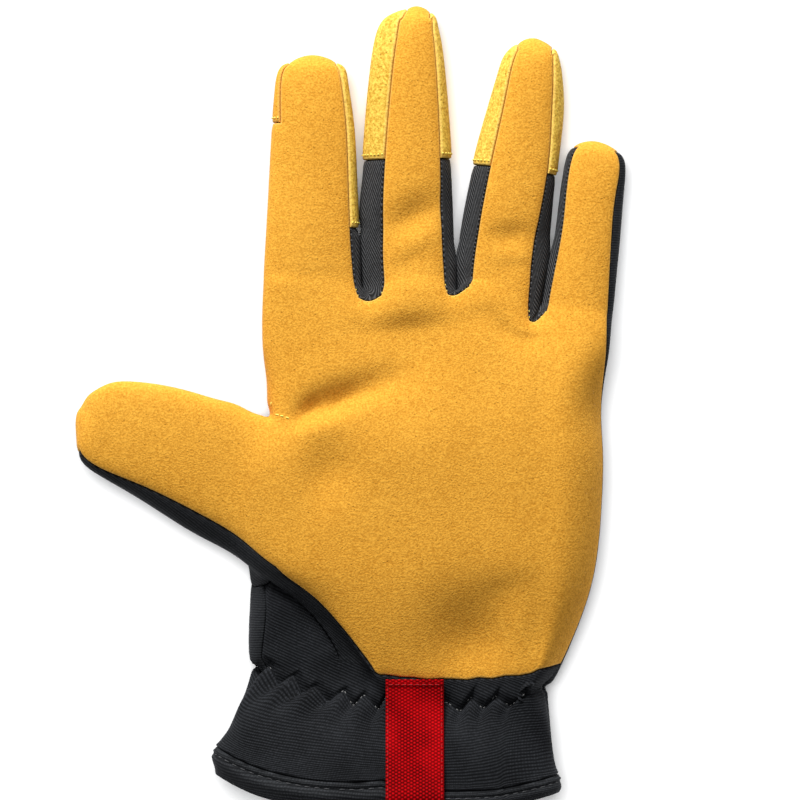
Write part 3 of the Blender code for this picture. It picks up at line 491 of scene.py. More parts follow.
def crotch_points(cage, number):
    """The two upright lines of points where two fingers part."""
    left_digit = FINGERS[number]
    right_digit = FINGERS[number + 1]
    left_x = ORIGINS[number][0] + left_digit.reach_right * left_digit.width
    right_x = ORIGINS[number + 1][0] - right_digit.reach_left * right_digit.width
    y = 0.5 * (ORIGINS[number][1] + ORIGINS[number + 1][1]) + CROTCH_LIFT
    lines = []
    for x, out in ((left_x, -1.0), (right_x, 1.0)):
        lines.append([cage.point((x + out * CROTCH_SPREAD, y, height * left_digit.thick))
                      for height in (UPPER_SIDE_HEIGHT, LOWER_SIDE_HEIGHT)])
    return lines


def outer_side(cage, row, number):
    """Two points on the little finger side of a palm row, between the seam and the back."""
    thick = row.thick * PALM_THICK
    return [cage.point(palm_place(row.right + side.across, row.right_down, side.height * thick))
            for side in (OUTER_SIDE_FIRST if number == 1 else OUTER_SIDE)]


def side_lines(cage, top_rows, low_rows):
    """Points down both sides of each row, from the palm side to the back."""
    left_sides = {}
    right_sides = {}
    for number in range(len(PALM_ROWS) + 1):
        left = None
        if number == 0:
            left = side_points(cage, INDEX, ORIGINS[0], INDEX.base, "left")
            right = side_points(cage, LITTLE, ORIGINS[-1], LITTLE.base, "right")
        else:
            row = PALM_ROWS[number - 1]
            right = outer_side(cage, row, number)
            thick = row.thick * PALM_THICK
            if number in LEFT_SIDE:
                places = [side and palm_place(side.across, side.down, side.height * thick)
                          for side in LEFT_SIDE[number]]
                left = [cage.point(place) for place in places[:2]]
                if places[2]:
                    cage.targets[low_rows[number][0]] = places[2]
        if left:
            left_sides[number] = [top_rows[number][0]] + left + [low_rows[number][0]]
        right_sides[number] = [top_rows[number][-1]] + right + [low_rows[number][-1]]
    return left_sides, right_sides


def build_hand(cage):
    """Palm, back, fingers and thumb down to the row where the cuff is sewn on."""
    rows = [knuckle_row(cage)]
    for number, row in enumerate(PALM_ROWS, start=1):
        sole = LEFT_SIDE[number][2] if number in LEFT_SIDE else None
        low_left = sole.across if sole else row.left + BACK_INSET_LEFT
        rows.append(palm_row(cage, row, number / len(PALM_ROWS), low_left))
    top_rows = [top for top, low in rows]
    low_rows = [low for top, low in rows]

    crotches = [crotch_points(cage, number) for number in range(len(FINGERS) - 1)]
    left_sides, right_sides = side_lines(cage, top_rows, low_rows)
    for number in range(SEWN_ROW):
        front = "palm_panel" if number < EDGE_ROW else "wrist_gusset"
        cage.strip(top_rows[number], top_rows[number + 1], lambda k: front)
        cage.strip(low_rows[number], low_rows[number + 1], lambda k: "back_panel")
        cage.strip(right_sides[number], right_sides[number + 1], lambda k: "back_panel")
        if number < THUMB_FIRST_ROW:
            cage.strip(left_sides[number], left_sides[number + 1],
                       lambda k: "palm_panel" if k < 2 else "back_panel")
        elif number >= THUMB_LAST_ROW:
            names = ("thumb_back", "wrist_gusset", "back_panel")
            if number >= EDGE_ROW:
                names = ("wrist_gusset", "wrist_gusset", "back_panel")
            cage.strip(left_sides[number], left_sides[number + 1], lambda k: names[k])

    for number in range(3):
        col = 3 * number + 2
        left_line = [top_rows[0][col]] + crotches[number][0] + [low_rows[0][col]]
        right_line = [top_rows[0][col + 1]] + crotches[number][1] + [low_rows[0][col + 1]]
        cage.strip(left_line, right_line, lambda k: CROTCH_PIECES[number])

    for number, digit in enumerate(FINGERS):
        col = 3 * number
        if number == 0:
            left = left_sides[0]
        else:
            left = [top_rows[0][col]] + crotches[number - 1][1] + [low_rows[0][col]]
        if number == 3:
            right = right_sides[0]
        else:
            right = [top_rows[0][col + 2]] + crotches[number][0] + [low_rows[0][col + 2]]
        base = Ring(top_rows[0][col:col + 3], right, low_rows[0][col:col + 3], left)
        grow_digit(cage, digit, ORIGINS[number], base, 2)

    rows = range(THUMB_LAST_ROW, THUMB_FIRST_ROW - 1, -1)
    base = Ring([top_rows[r][0] for r in rows], left_sides[THUMB_FIRST_ROW],
                [low_rows[r][0] for r in rows], left_sides[THUMB_LAST_ROW])
    origin = palm_place(THUMB_ORIGIN.across, THUMB_ORIGIN.down, 0.0)
    grow_digit(cage, THUMB, origin, base, THUMB_LAST_ROW - THUMB_FIRST_ROW)

    # Closed section at the sewn row: palm side, outer side, back reversed, inner side
    ring = list(top_rows[SEWN_ROW])
    ring += right_sides[SEWN_ROW][1:3]
    ring += reversed(low_rows[SEWN_ROW])
    ring += reversed(left_sides[SEWN_ROW][1:3])
    return ring


def section_outline(half_width, half_thick, start, shares):
    """Places on a rounded flat section, clockwise from a start direction, at shares of its length."""
    turn = start - np.linspace(0.0, 2.0 * math.pi, OUTLINE_SAMPLES)
    aside = np.cos(turn)
    above = np.sin(turn)
    reach = (np.abs(aside) ** CUFF_SQUARE + np.abs(above) ** CUFF_SQUARE) ** (-1.0 / CUFF_SQUARE)
    xs = half_width * aside * reach
    zs = half_thick * above * reach
    run = np.concatenate([[0.0], np.cumsum(np.hypot(np.diff(xs), np.diff(zs)))])
    run /= run[-1]
    return np.interp(shares, run, xs), np.interp(shares, run, zs)


def cuff_section(cage, sewn, row, drop, swell):
    """Section of the cuff, its corners spread more evenly than on the sewn section."""
    places = np.array(sewn)
    low = places.min(axis=0)
    high = places.max(axis=0)
    wide_left = low[0] + row.left_out * SPAN - swell
    wide_right = high[0] + row.right_out * SPAN + swell
    half_thick = 0.5 * lerp(high[2] - low[2], MOUTH_THICK + BACK_SINK, row.share) + swell
    middle = 0.5 * (low + high)
    half = 0.5 * (high - low)
    start = math.atan2((places[0, 2] - middle[2]) / half[2], (places[0, 0] - middle[0]) / half[0])
    steps = np.hypot(*np.diff(places[:, [0, 2]], axis=0, append=places[:1, [0, 2]]).T)
    own = np.concatenate([[0.0], np.cumsum(steps)[:-1]]) / steps.sum()
    even = np.arange(len(sewn)) / len(sewn)
    shares = lerp(own, even, CUFF_EVENING * row.share)
    xs, zs = section_outline(0.5 * (wide_right - wide_left), half_thick, start, shares)
    points = []
    for x, z in zip(xs, zs):
        share = 0.5 + x / (wide_right - wide_left)
        arc = 1.0 - abs(2.0 * share - 1.0) ** CUFF_SQUARE
        side_down = lerp(row.left_down, row.right_down, share)
        down = lerp(side_down, row.middle_down, arc) * CUFF_LENGTH + drop
        place = (0.5 * (wide_left + wide_right) + x, SEWN_Y - down, half_thick - BACK_SINK + z)
        points.append(cage.point(place))
    return points


def build_cuff(cage, ring):
    """Cuff and hem: closed sections from the sewn row to the mouth."""
    sewn = [cage.targets[i] for i in ring]
    rings = [ring]
    for row in CUFF_ROWS:
        rings.append(cuff_section(cage, sewn, row, 0.0, 0.0))
    last = CUFF_ROWS[-1]
    rings.append(cuff_section(cage, sewn, last, 0.5 * HEM_HEIGHT, HEM_SWELL))
    rings.append(cuff_section(cage, sewn, last, HEM_HEIGHT, 0.0))
    for number in range(len(rings) - 1):
        panel = "cuff" if number < len(CUFF_ROWS) else "hem_binding"
        upper = rings[number] + rings[number][:1]
        lower = rings[number + 1] + rings[number + 1][:1]
        cage.strip(upper, lower, lambda k: panel)


def limit_weights(count, faces):
    """Matrix that takes cage corners to their places on the smooth surface."""
    edge_faces = {}
    around = [set() for _ in range(count)]
    across = [[] for _ in range(count)]
    for face in faces:
        for k in range(4):
            here = face[k]
            ahead = face[(k + 1) % 4]
            around[here].add(ahead)
            around[ahead].add(here)
            across[here].append(face[(k + 2) % 4])
            key = (min(here, ahead), max(here, ahead))
            edge_faces[key] = edge_faces.get(key, 0) + 1
    rim = {}
    for (a, b), uses in edge_faces.items():
        if uses == 1:
            rim.setdefault(a, []).append(b)
            rim.setdefault(b, []).append(a)
    matrix = np.zeros((count, count))
    for i in range(count):
        if i in rim:
            matrix[i, i] += 4.0 / 6.0
            for j in rim[i]:
                matrix[i, j] += 1.0 / 6.0
            continue
        valence = len(around[i])
        total = valence * (valence + 5.0)
        matrix[i, i] += valence * valence / total
        for j in around[i]:
            matrix[i, j] += 4.0 / total
        for j in across[i]:
            matrix[i, j] += 1.0 / total
    return matrix


def fitted_corners(cage):
    """Cage corners moved until the smooth surface passes through their targets."""
    targets = np.array(cage.targets)
    matrix = limit_weights(len(targets), cage.faces)
    corners = targets.copy()
    for _ in range(FIT_ROUNDS):
        corners += targets - matrix @ corners
    return corners


def smooth_shell(cage, level):
    """The whole glove as one smooth surface, with the panel of each face."""
    corners = fitted_corners(cage)
    mesh = bpy.data.meshes.new("glove_cage")
    mesh.from_pydata([tuple(c) for c in corners], [], cage.faces)
    for panel in PANELS:
        mesh.materials.append(None)
    for face, tag in zip(mesh.polygons, cage.tags):
        face.material_index = tag
    work = bmesh.new()
    work.from_mesh(mesh)
    bmesh.ops.recalc_face_normals(work, faces=work.faces)
    highest = max(work.faces, key=lambda f: f.calc_center_median().z)
    if highest.normal.z < 0.0:
        bmesh.ops.reverse_faces(work, faces=work.faces)
    work.to_mesh(mesh)
    work.free()
    cage_object = bpy.data.objects.new("glove_cage", mesh)
    bpy.context.scene.collection.objects.link(cage_object)
    smoother = cage_object.modifiers.new("smooth", "SUBSURF")
    smoother.levels = level
    smoother.render_levels = level
    depsgraph = bpy.context.evaluated_depsgraph_get()
    depsgraph.update()
    result = bpy.data.meshes.new_from_object(cage_object.evaluated_get(depsgraph))
    points = np.array([tuple(v.co) for v in result.vertices])
    faces = [tuple(f.vertices) for f in result.polygons]
    tags = [f.material_index for f in result.polygons]
    bpy.data.objects.remove(cage_object, do_unlink=True)
    bpy.data.meshes.remove(result)
    return points, faces, tags


def face_normals(points, faces):
    quads = np.array(faces)
    first = points[quads[:, 2]] - points[quads[:, 0]]
    second = points[quads[:, 3]] - points[quads[:, 1]]
    return np.cross(first, second)


def unit(rows):
    length = np.linalg.norm(rows, axis=-1, keepdims=True)
    return rows / np.maximum(length, 1e-9)


def corner_normals(points, faces):
    quads = np.array(faces)
    flat = face_normals(points, quads)
    normals = np.zeros_like(points)
    for k in range(4):
        np.add.at(normals, quads[:, k], flat)
    return unit(normals)


def corners_of(faces, tags, names, inside=True):
    """Corners that lie on the named panels, or on the others."""
    chosen = np.isin(tags, [PANEL_INDEX[name] for name in names])
    return np.unique(faces[chosen if inside else ~chosen])


def squared_to_mouth(normals, faces, tags):
    """Wall directions at the mouth turned square to its length, so the thick hem does not fold inside."""
    turned = normals.copy()
    cuff = ["cuff"]
    inside = np.setdiff1d(corners_of(faces, tags, cuff), corners_of(faces, tags, cuff, False))
    turned[inside, 1] *= CUFF_LEAN
    turned[corners_of(faces, tags, ["hem_binding"]), 1] = 0.0
    return unit(turned)


# From the cage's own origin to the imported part's, in millimetres
OFFSET = np.array([-27.97924, 35.95047, 0.06585])

# How finely each panel is divided
PLAIN_LEVEL = 3
FINE_LEVEL = 4
PLAIN_PANELS = ("back_panel",)

# Edges of the panels: rounding, the stretch over which it fades, and the pucker along each seam
EDGE_ROUND = 0.45
SEWN_ROUND = 0.12
HIDDEN_ROUND = 0.04
ROUND_SHARE = 0.29
EDGE_PULL_REACH = 2.0
SHARP_ANGLE = 62.0
PUCKER_DEPTH = 0.22
PUCKER_REACH = 1.6

# The thumb's band: the groove along it, and the place where it runs out into the gusset
BAND_PANELS = ("thumb_back", "wrist_gusset")
BAND_GROOVE = 1.1
BAND_GROOVE_REACH = 2.4
BAND_END_X = 24.4
BAND_END_Y = -114.0
BAND_END_MARGIN = 2.0
BAND_TOP_HEIGHT = 10.0
WEAVE_TURNS = {"thumb_back": -38.0, "wrist_gusset": -24.0}

# Soft unevenness of the whole cloth
UNEVEN_SIZE = 21.0
UNEVEN_DEPTH = 0.10
UNEVEN_SEED = 1.7

# How far each kind of panel stands over the cage surface
LIFTS = {"tan_suede": 0.20, "bright_suede": 0.36, "black_twill": -0.15}

# Side strips puffed toward each other over the crotch: how far, and how high up the fingers
Puff = namedtuple("Puff", "height length")
PUFFS = {
    "fourchette_index_middle": Puff(0.95, 40.0),
    "fourchette_middle_ring": Puff(0.95, 19.0),
    "fourchette_ring_little": Puff(1.25, 28.0),
}
PUFF_REACH = 3.0
PUFF_FALL = 2.5

# Zigzag seam over the wrist: corners as seen from above, and the even run round the rest of it
ZIGZAG = (
    (1.3, -117.0), (4.8, -123.1), (9.9, -119.5), (12.4, -125.6), (16.6, -123.1), (20.6, -128.2),
    (25.6, -124.3), (28.5, -129.5), (31.7, -125.6), (36.5, -130.7), (39.0, -126.6), (43.2, -131.2),
    (47.3, -127.5), (51.2, -131.7), (55.4, -127.9), (59.2, -129.1), (63.0, -132.0), (66.5, -127.2),
    (70.4, -131.4), (74.5, -127.2), (79.2, -130.7), (83.7, -126.3), (91.5, -124.4))
ZIG_PITCH = 7.8
ZIG_HEIGHT = 1.5
ZIG_REACH = 5.0
SEAM_SINK = 1.0
SEAM_SINK_REACH = 1.2
FOLD_DEPTH = 1.3
FOLD_LENGTH = 9.0
FOLD_WIDTH = 1.5
FOLD_SPREAD = 0.12
PUFF_FOLD_DEPTH = 0.7
PUFF_FOLD_LENGTH = 4.0
FOLD_BACK_REACH = 1.5
GATHER_RANGE = 40.0

# Hem relief, by the distance from its upper edge: place, width and height of each ridge or groove
HemWave = namedtuple("HemWave", "place width height")
HEM_LIFT = 0.2
HEM_WAVES = (
    HemWave(0.9, 0.7, 0.25),
    HemWave(2.3, 0.7, -0.45),
    HemWave(4.7, 1.5, 0.45),
)

# Where the hem's upper edge leaves the part's own line, seen from above
HemStep = namedtuple("HemStep", "x rise")
HEM_STEPS = (
    HemStep(-20.0, 2.4),
    HemStep(12.0, 2.6),
    HemStep(30.0, 3.0),
    HemStep(38.0, 3.8),
    HemStep(48.0, 1.5),
    HemStep(58.0, -0.2),
    HemStep(75.0, -1.6),
    HemStep(95.0, -1.6),
)
HEM_STEP_REACH = 6.0

# Smaller folds of the gusset and of the thumb's crotch, in the same terms as the dents of the palm
SMALL_DENTS = (
    Dent(0.826, 0.530, 54.0, 5.5, 5.5, 90.0, 1.7),
    Dent(0.932, 0.530, 54.0, 6.0, 20.0, 90.0, -1.8),
    Dent(0.803, 0.899, 14.0, 5.0, 5.0, 90.0, 1.2),
    Dent(0.126, 0.296, 5.0, 3.0, 2.6, 48.0, 2.0),
    Dent(0.152, 0.478, 5.0, 9.0, 11.0, 0.0, 0.9),
    Dent(0.226, 0.978, 5.5, 1.7, 1.7, -78.0, 1.2),
    Dent(0.292, 1.004, 4.5, 1.6, 1.6, -80.0, 1.3),
    Dent(0.112, 0.920, 9.0, 3.5, 3.5, -78.0, 0.8),
    Dent(0.037, 0.899, 9.0, 3.0, 3.0, -86.0, 0.5),
)

# Small corrections of the outline as seen from above
Nudge = namedtuple("Nudge", "x y aside ahead reach")
NUDGES = (
    Nudge(-54.9, -31.2, -0.6, 0.6, 4.0),
    Nudge(-59.4, -35.4, 0.6, -0.2, 3.0),
    Nudge(-6.9, -34.4, 0.0, -0.7, 4.0),
    Nudge(-0.3, -37.9, 1.8, 0.3, 3.5),
    Nudge(0.5, -27.7, 0.9, 0.0, 9.0),
    Nudge(40.3, 89.7, -0.7, 0.6, 4.0),
    Nudge(53.3, 90.1, 1.0, 0.5, 3.0),
    Nudge(92.3, 79.2, 0.8, 0.4, 3.0),
)

# Seams that run on over the tip of a finger: places in shares of its length and width
TipSeam = namedtuple("TipSeam", "digit side along across")
TIP_SEAMS = (
    TipSeam("index", "left", 1.000, -0.200),
    TipSeam("index", "right", 1.000, 0.330),
    TipSeam("middle", "left", 1.010, -0.015),
    TipSeam("middle", "right", 0.995, 0.235),
    TipSeam("ring", "left", 0.995, -0.205),
    TipSeam("ring", "right", 0.995, 0.255),
)
TIP_HALF_WIDTH = 0.6
SEAM_SMOOTHING = 12


def uneven(points, size, seed):
    """Soft random rise and fall of the cloth, the same at each run."""
    shift = Vector((seed, 2.0 * seed, 3.0 * seed))
    return np.array([noise.noise(Vector(p) / size + shift) for p in points])


class Wrist:
    """Places round the wrist and cuff, measured as lengths along the sewn section."""

    def __init__(self, points, faces, tags):
        cuff = corners_of(faces, tags, ["cuff"])
        self.seam = np.intersect1d(cuff, corners_of(faces, tags, ["cuff", "hem_binding"], False))
        self.hem_top = np.intersect1d(cuff, corners_of(faces, tags, ["hem_binding"]))
        self.loops = [(loop[:, 1].mean(), loop.min(axis=0), loop.max(axis=0))
                      for loop in (points[self.seam], points[self.hem_top])]
        ring = points[self.seam]
        angle = self.angle(ring)
        order = np.argsort(angle)
        self.ring = ring[order]
        self.angles = angle[order]
        self.heights = self.ring[:, 1]
        closed = np.vstack([self.ring, self.ring[:1]])
        steps = np.hypot(np.diff(closed[:, 0]), np.diff(closed[:, 2]))
        self.length = steps.sum()
        runs = np.concatenate([[0.0], np.cumsum(steps)[:-1]])
        self.runs = runs - np.interp(0.0, self.angles, runs)

    def angle(self, points):
        """Turn round the section: 0 on top, growing to the right."""
        (y0, low0, high0), (y1, low1, high1) = self.loops
        share = np.clip((points[:, 1] - y0) / (y1 - y0), 0.0, 1.3)[:, None]
        low = low0 + (low1 - low0) * share
        high = high0 + (high1 - high0) * share
        middle = 0.5 * (low + high)
        half = 0.5 * (high - low)
        return np.arctan2((points[:, 0] - middle[:, 0]) / half[:, 0],
                          (points[:, 2] - middle[:, 2]) / half[:, 2])

    def run(self, points):
        """Length round the section, counted from its top."""
        return np.interp(self.angle(points), self.angles, self.runs, period=2.0 * math.pi)

    def seam_y(self, points):
        """Where the sewn row lies at the same turn."""
        return np.interp(self.angle(points), self.angles, self.heights, period=2.0 * math.pi)


def zigzag_line(wrist):
    """The zigzag as lengths round the wrist and steps up or down from the sewn row."""
    above = wrist.ring[:, 2] > np.median(wrist.ring[:, 2])
    order = np.argsort(wrist.ring[above][:, 0])
    xs = wrist.ring[above][order][:, 0]
    top_runs = wrist.runs[above][order]
    top_ys = wrist.heights[above][order]
    runs = []
    steps = []
    for x, y in ZIGZAG:
        runs.append(float(np.interp(x, xs, top_runs)))
        steps.append(y - float(np.interp(x, xs, top_ys)))
    left_room = runs[0] + wrist.length - runs[-1]
    count = 2 * max(2, round(left_room / ZIG_PITCH)) - 1
    for number in range(1, count + 1):
        share = number / (count + 1)
        runs.append(runs[len(ZIGZAG) - 1] + left_room * share)
        steps.append(-ZIG_HEIGHT if number % 2 else ZIG_HEIGHT)
    runs = np.array(runs)
    steps = np.array(steps)
    order = np.argsort(runs)
    return runs[order], steps[order]


def follow_zigzag(points, wrist, zig_runs, zig_steps):
    """Moves the cloth near the sewn row so that the seam itself runs in a zigzag."""
    run = wrist.run(points)
    away = points[:, 1] - wrist.seam_y(points)
    near = np.abs(away) < 3.0 * ZIG_REACH
    step = np.interp(run, zig_runs, zig_steps, period=wrist.length)
    moved = points.copy()
    moved[near, 1] += (step * np.exp(-(away / ZIG_REACH) ** 2))[near]
    return moved, run, away


def gathers(run, away, zig_runs, zig_steps, length):
    """Depth of the zigzag groove and of the folds that spread from its corners."""
    sink = SEAM_SINK * np.exp(-(away / SEAM_SINK_REACH) ** 2)
    for place, height in zip(zig_runs, zig_steps):
        offset = (run - place + 0.5 * length) % length - 0.5 * length
        if height < 0.0:
            ahead, depth, reach = -away, FOLD_DEPTH, FOLD_LENGTH
        else:
            ahead, depth, reach = away, PUFF_FOLD_DEPTH, PUFF_FOLD_LENGTH
        width = FOLD_WIDTH + FOLD_SPREAD * np.maximum(ahead, 0.0)
        fall = np.where(ahead > 0.0, np.exp(-np.abs(ahead) / reach),
                        np.exp(-(ahead / FOLD_BACK_REACH) ** 2))
        sink += depth * fall * np.exp(-(offset / width) ** 2)
    return sink * (np.abs(away) < GATHER_RANGE)


def palm_relief(points, normals):
    """Dents, folds and mounds of the palm."""
    sink = np.zeros(len(points))
    facing = np.clip(normals[:, 2], 0.0, 1.0)
    for dent in DENTS + SMALL_DENTS:
        place = palm_place(dent.across, dent.down, 0.0)
        turn = math.radians(dent.turn)
        dx = points[:, 0] - place[0]
        dy = points[:, 1] - place[1]
        run = (dx * math.cos(turn) + dy * math.sin(turn)) / dent.half_length
        off = dy * math.cos(turn) - dx * math.sin(turn)
        off = off / np.where(off > 0.0, dent.upper, dent.lower)
        sink += dent.depth * np.exp(-run ** 2 - off ** 2) * facing
    return sink


def retag_tips(points, faces, tags):
    """Lets the suede patches run on over the tip and taper out there."""
    centres = points[faces].mean(axis=1)
    palm = tags == PANEL_INDEX["palm_panel"]
    digits = {digit.name: (digit, origin) for digit, origin in zip(FINGERS, ORIGINS)}
    moved = tags.copy()
    for seam in TIP_SEAMS:
        digit, origin = digits[seam.digit]
        last = digit.stations[-1]
        lean = math.radians(digit.lean)
        dx = centres[:, 0] - origin[0]
        dy = centres[:, 1] - origin[1]
        along = (dx * math.sin(lean) + dy * math.cos(lean)) / digit.length
        across = (dx * math.cos(lean) - dy * math.sin(lean)) / digit.width
        share = (along - last.along) / (seam.along - last.along)
        left = seam.side == "left"
        line = lerp(last.left_seam if left else last.right_seam, seam.across, share)
        taken = palm & (along > last.along) & (np.abs(across) < TIP_HALF_WIDTH)
        taken &= across < line if left else across > line
        moved[taken] = PANEL_INDEX["patch_" + seam.digit + "_" + seam.side]
    return moved


def edge_panels(faces, tags):
    """The panels on the two sides of each edge."""
    edges = {}
    for face, tag in zip(faces.tolist(), tags.tolist()):
        for k in range(4):
            a, b = face[k], face[(k + 1) % 4]
            edges.setdefault((min(a, b), max(a, b)), set()).add(tag)
    return edges


def linked(edges):
    """The neighbours of each corner along a run of edges."""
    links = {}
    for a, b in edges:
        links.setdefault(a, []).append(b)
        links.setdefault(b, []).append(a)
    return links


def smooth_tip_seams(points, edges, touched):
    """Evens out the stepped part of the seams that were drawn over the tips."""
    palm = PANEL_INDEX["palm_panel"]
    links = linked([(a, b) for (a, b), found in edges.items()
                    if len(found) == 2 and palm in found and a in touched and b in touched])
    inner = [corner for corner, others in links.items() if len(others) == 2]
    smooth = points.copy()
    for _ in range(SEAM_SMOOTHING):
        before = smooth.copy()
        for corner in inner:
            first, second = links[corner]
            smooth[corner] = 0.5 * before[corner] + 0.25 * (before[first] + before[second])
    return smooth


def move_hem_line(points, wrist):
    """Shifts the cloth along so that the hem's upper edge lies where it is seen."""
    hem = points[wrist.hem_top]
    angle = wrist.angle(hem)
    order = np.argsort(angle)
    line = np.interp(wrist.angle(points), angle[order], hem[order, 1], period=2.0 * math.pi)
    rise = np.interp(points[:, 0], [step.x for step in HEM_STEPS], [step.rise for step in HEM_STEPS])
    moved = points.copy()
    moved[:, 1] += rise * np.exp(-((points[:, 1] - line) / HEM_STEP_REACH) ** 2)
    return moved


def nudged(points):
    """The small corrections of the outline."""
    moved = points.copy()
    for nudge in NUDGES:
        away = np.hypot(points[:, 0] - nudge.x, points[:, 1] - nudge.y) / nudge.reach
        fall = np.exp(-away ** 2)
        moved[:, 0] += nudge.aside * fall
        moved[:, 1] += nudge.ahead * fall
    return moved


class Shell:
    """The whole glove refined to one level, with dents, gathers and weave directions."""

    def __init__(self, cage, level):
        points, faces, tags = smooth_shell(cage, level)
        points = nudged(points)
        faces = np.array(faces)
        tags = np.array(tags)
        cage_tags = tags
        tags = retag_tips(points, faces, cage_tags)
        self.edges = edge_panels(faces, tags)
        touched = set(faces[tags != cage_tags].ravel().tolist())
        points = smooth_tip_seams(points, self.edges, touched)
        wrist = Wrist(points, faces, tags)
        zig_runs, zig_steps = zigzag_line(wrist)
        smooth = points
        points, run, away = follow_zigzag(points, wrist, zig_runs, zig_steps)
        points = move_hem_line(points, wrist)
        normals = corner_normals(smooth, faces)
        sink = palm_relief(points, normals)
        sink += gathers(run, away, zig_runs, zig_steps, wrist.length)
        sink -= UNEVEN_DEPTH * uneven(smooth, UNEVEN_SIZE, UNEVEN_SEED)
        points = points - normals * sink[:, None]
        points[:, 2] = np.maximum(points[:, 2], 0.0)
        self.points = points
        self.faces = faces
        self.tags = tags
        self.normals = squared_to_mouth(corner_normals(points, faces), faces, tags)
        self.run = run
        self.away = away
        self.seam = wrist.seam
        self.hem_top = wrist.hem_top
        self.corners_of_zigzag = zig_runs
        corners = np.unique(np.array(self.shared(["thumb_back"], ["wrist_gusset"])))
        x, z = points[corners, 0], points[corners, 2]
        self.band_end = corners[x > BAND_END_X]
        self.band_edge = corners[(x < BAND_END_X - BAND_END_MARGIN) & (z > BAND_TOP_HEIGHT)]

    def shared(self, first, second):
        """Edges where panels of two groups meet, as pairs of corners."""
        first = {PANEL_INDEX[name] for name in first}
        second = {PANEL_INDEX[name] for name in second}
        return [edge for edge, found in self.edges.items() if found & first and found & second]


def chained(edges):
    """Corners of a run of edges in order, closed if the edges close."""
    links = linked(edges)
    ends = sorted(corner for corner, others in links.items() if len(others) == 1)
    start = ends[0] if ends else min(links)
    chain = [start]
    seen = {start}
    while True:
        ahead = [other for other in links[chain[-1]] if other not in seen]
        if not ahead:
            break
        chain.append(min(ahead))
        seen.add(chain[-1])
    if not ends:
        chain.append(start)
    return chain


def rim_sides(shell, own):
    """For each corner on the edge of a panel, the direction that leads into the panel."""
    edges = np.concatenate([own[:, [k, (k + 1) % 4]] for k in range(4)])
    present = set(map(tuple, edges.tolist()))
    rim = [(a, b) for a, b in edges.tolist() if (b, a) not in present]
    sides = {}
    for a, b in rim:
        run = shell.points[b] - shell.points[a]
        side = unit(np.cross(unit(shell.normals[a] + shell.normals[b]), run))
        sides.setdefault(a, []).append(side)
        sides.setdefault(b, []).append(side)
    inward = {}
    for corner, found in sides.items():
        total = unit(np.sum(found, axis=0))
        inward[corner] = total / max(0.5, float(np.dot(total, found[0])))
    return rim, inward


def edge_distance(shell, corners, rim_corners):
    """Distance of each corner from a seam, and which corner of the seam is nearest."""
    tree = KDTree(len(rim_corners))
    for number, corner in enumerate(rim_corners):
        tree.insert(Vector(shell.points[corner]), number)
    tree.balance()
    found = [tree.find(Vector(shell.points[c])) for c in corners]
    return np.array([hit[2] for hit in found]), np.array([hit[1] for hit in found])


def hem_height(shell, corners):
    """Relief of the hem: an edge ridge, the groove of the stitch row and the roll of the mouth."""
    distance, _ = edge_distance(shell, corners, list(shell.hem_top))
    height = np.full(len(corners), HEM_LIFT)
    for wave in HEM_WAVES:
        height += wave.height * np.exp(-((distance - wave.place) / wave.width) ** 2)
    return height


def weave_places(panel, shell, corners):
    """Across and along the weave of a panel, in millimetres over its surface."""
    points = shell.points[corners]
    if panel.name in ("cuff", "hem_binding"):
        return np.abs(shell.run[corners]), shell.away[corners]
    turn = math.radians(WEAVE_TURNS.get(panel.name, 0.0))
    aside = np.array([math.cos(turn), math.sin(turn), 0.0])
    ahead = np.array([-math.sin(turn), math.cos(turn), 0.0])
    tilt = np.clip(1.5 * (shell.normals[corners] @ aside), -1.0, 1.0)
    across = points @ aside + (PALM_THICK - points[:, 2]) * tilt
    return across, points @ ahead


def panel_lift(panel, shell, used, distance):
    """How far the outer side of a panel stands over the cage surface."""
    if panel.name == "hem_binding":
        return hem_height(shell, used)
    place = shell.points[used]
    lift = np.full(len(used), LIFTS.get(panel.material, 0.0))
    if panel.name == "cuff":
        return lift
    open_seam = np.ones(len(used))
    if panel.name in BAND_PANELS:
        open_seam[(place[:, 0] > BAND_END_X + 1.0) & (place[:, 1] < BAND_END_Y)] = 0.0
    lift -= PUCKER_DEPTH * open_seam * np.exp(-(distance / PUCKER_REACH) ** 2)
    if panel.name in PUFFS:
        puff = PUFFS[panel.name]
        up = (place[:, 1] - place[:, 1].min()) / puff.length
        share = np.clip(PUFF_FALL * (1.0 - up), 0.0, 1.0)
        lift += puff.height * share * (1.0 - np.exp(-(distance / PUFF_REACH) ** 2))
    if panel.name == "wrist_gusset":
        from_band, _ = edge_distance(shell, used, list(shell.band_edge))
        lift -= BAND_GROOVE * np.exp(-(from_band / BAND_GROOVE_REACH) ** 2)
    return lift


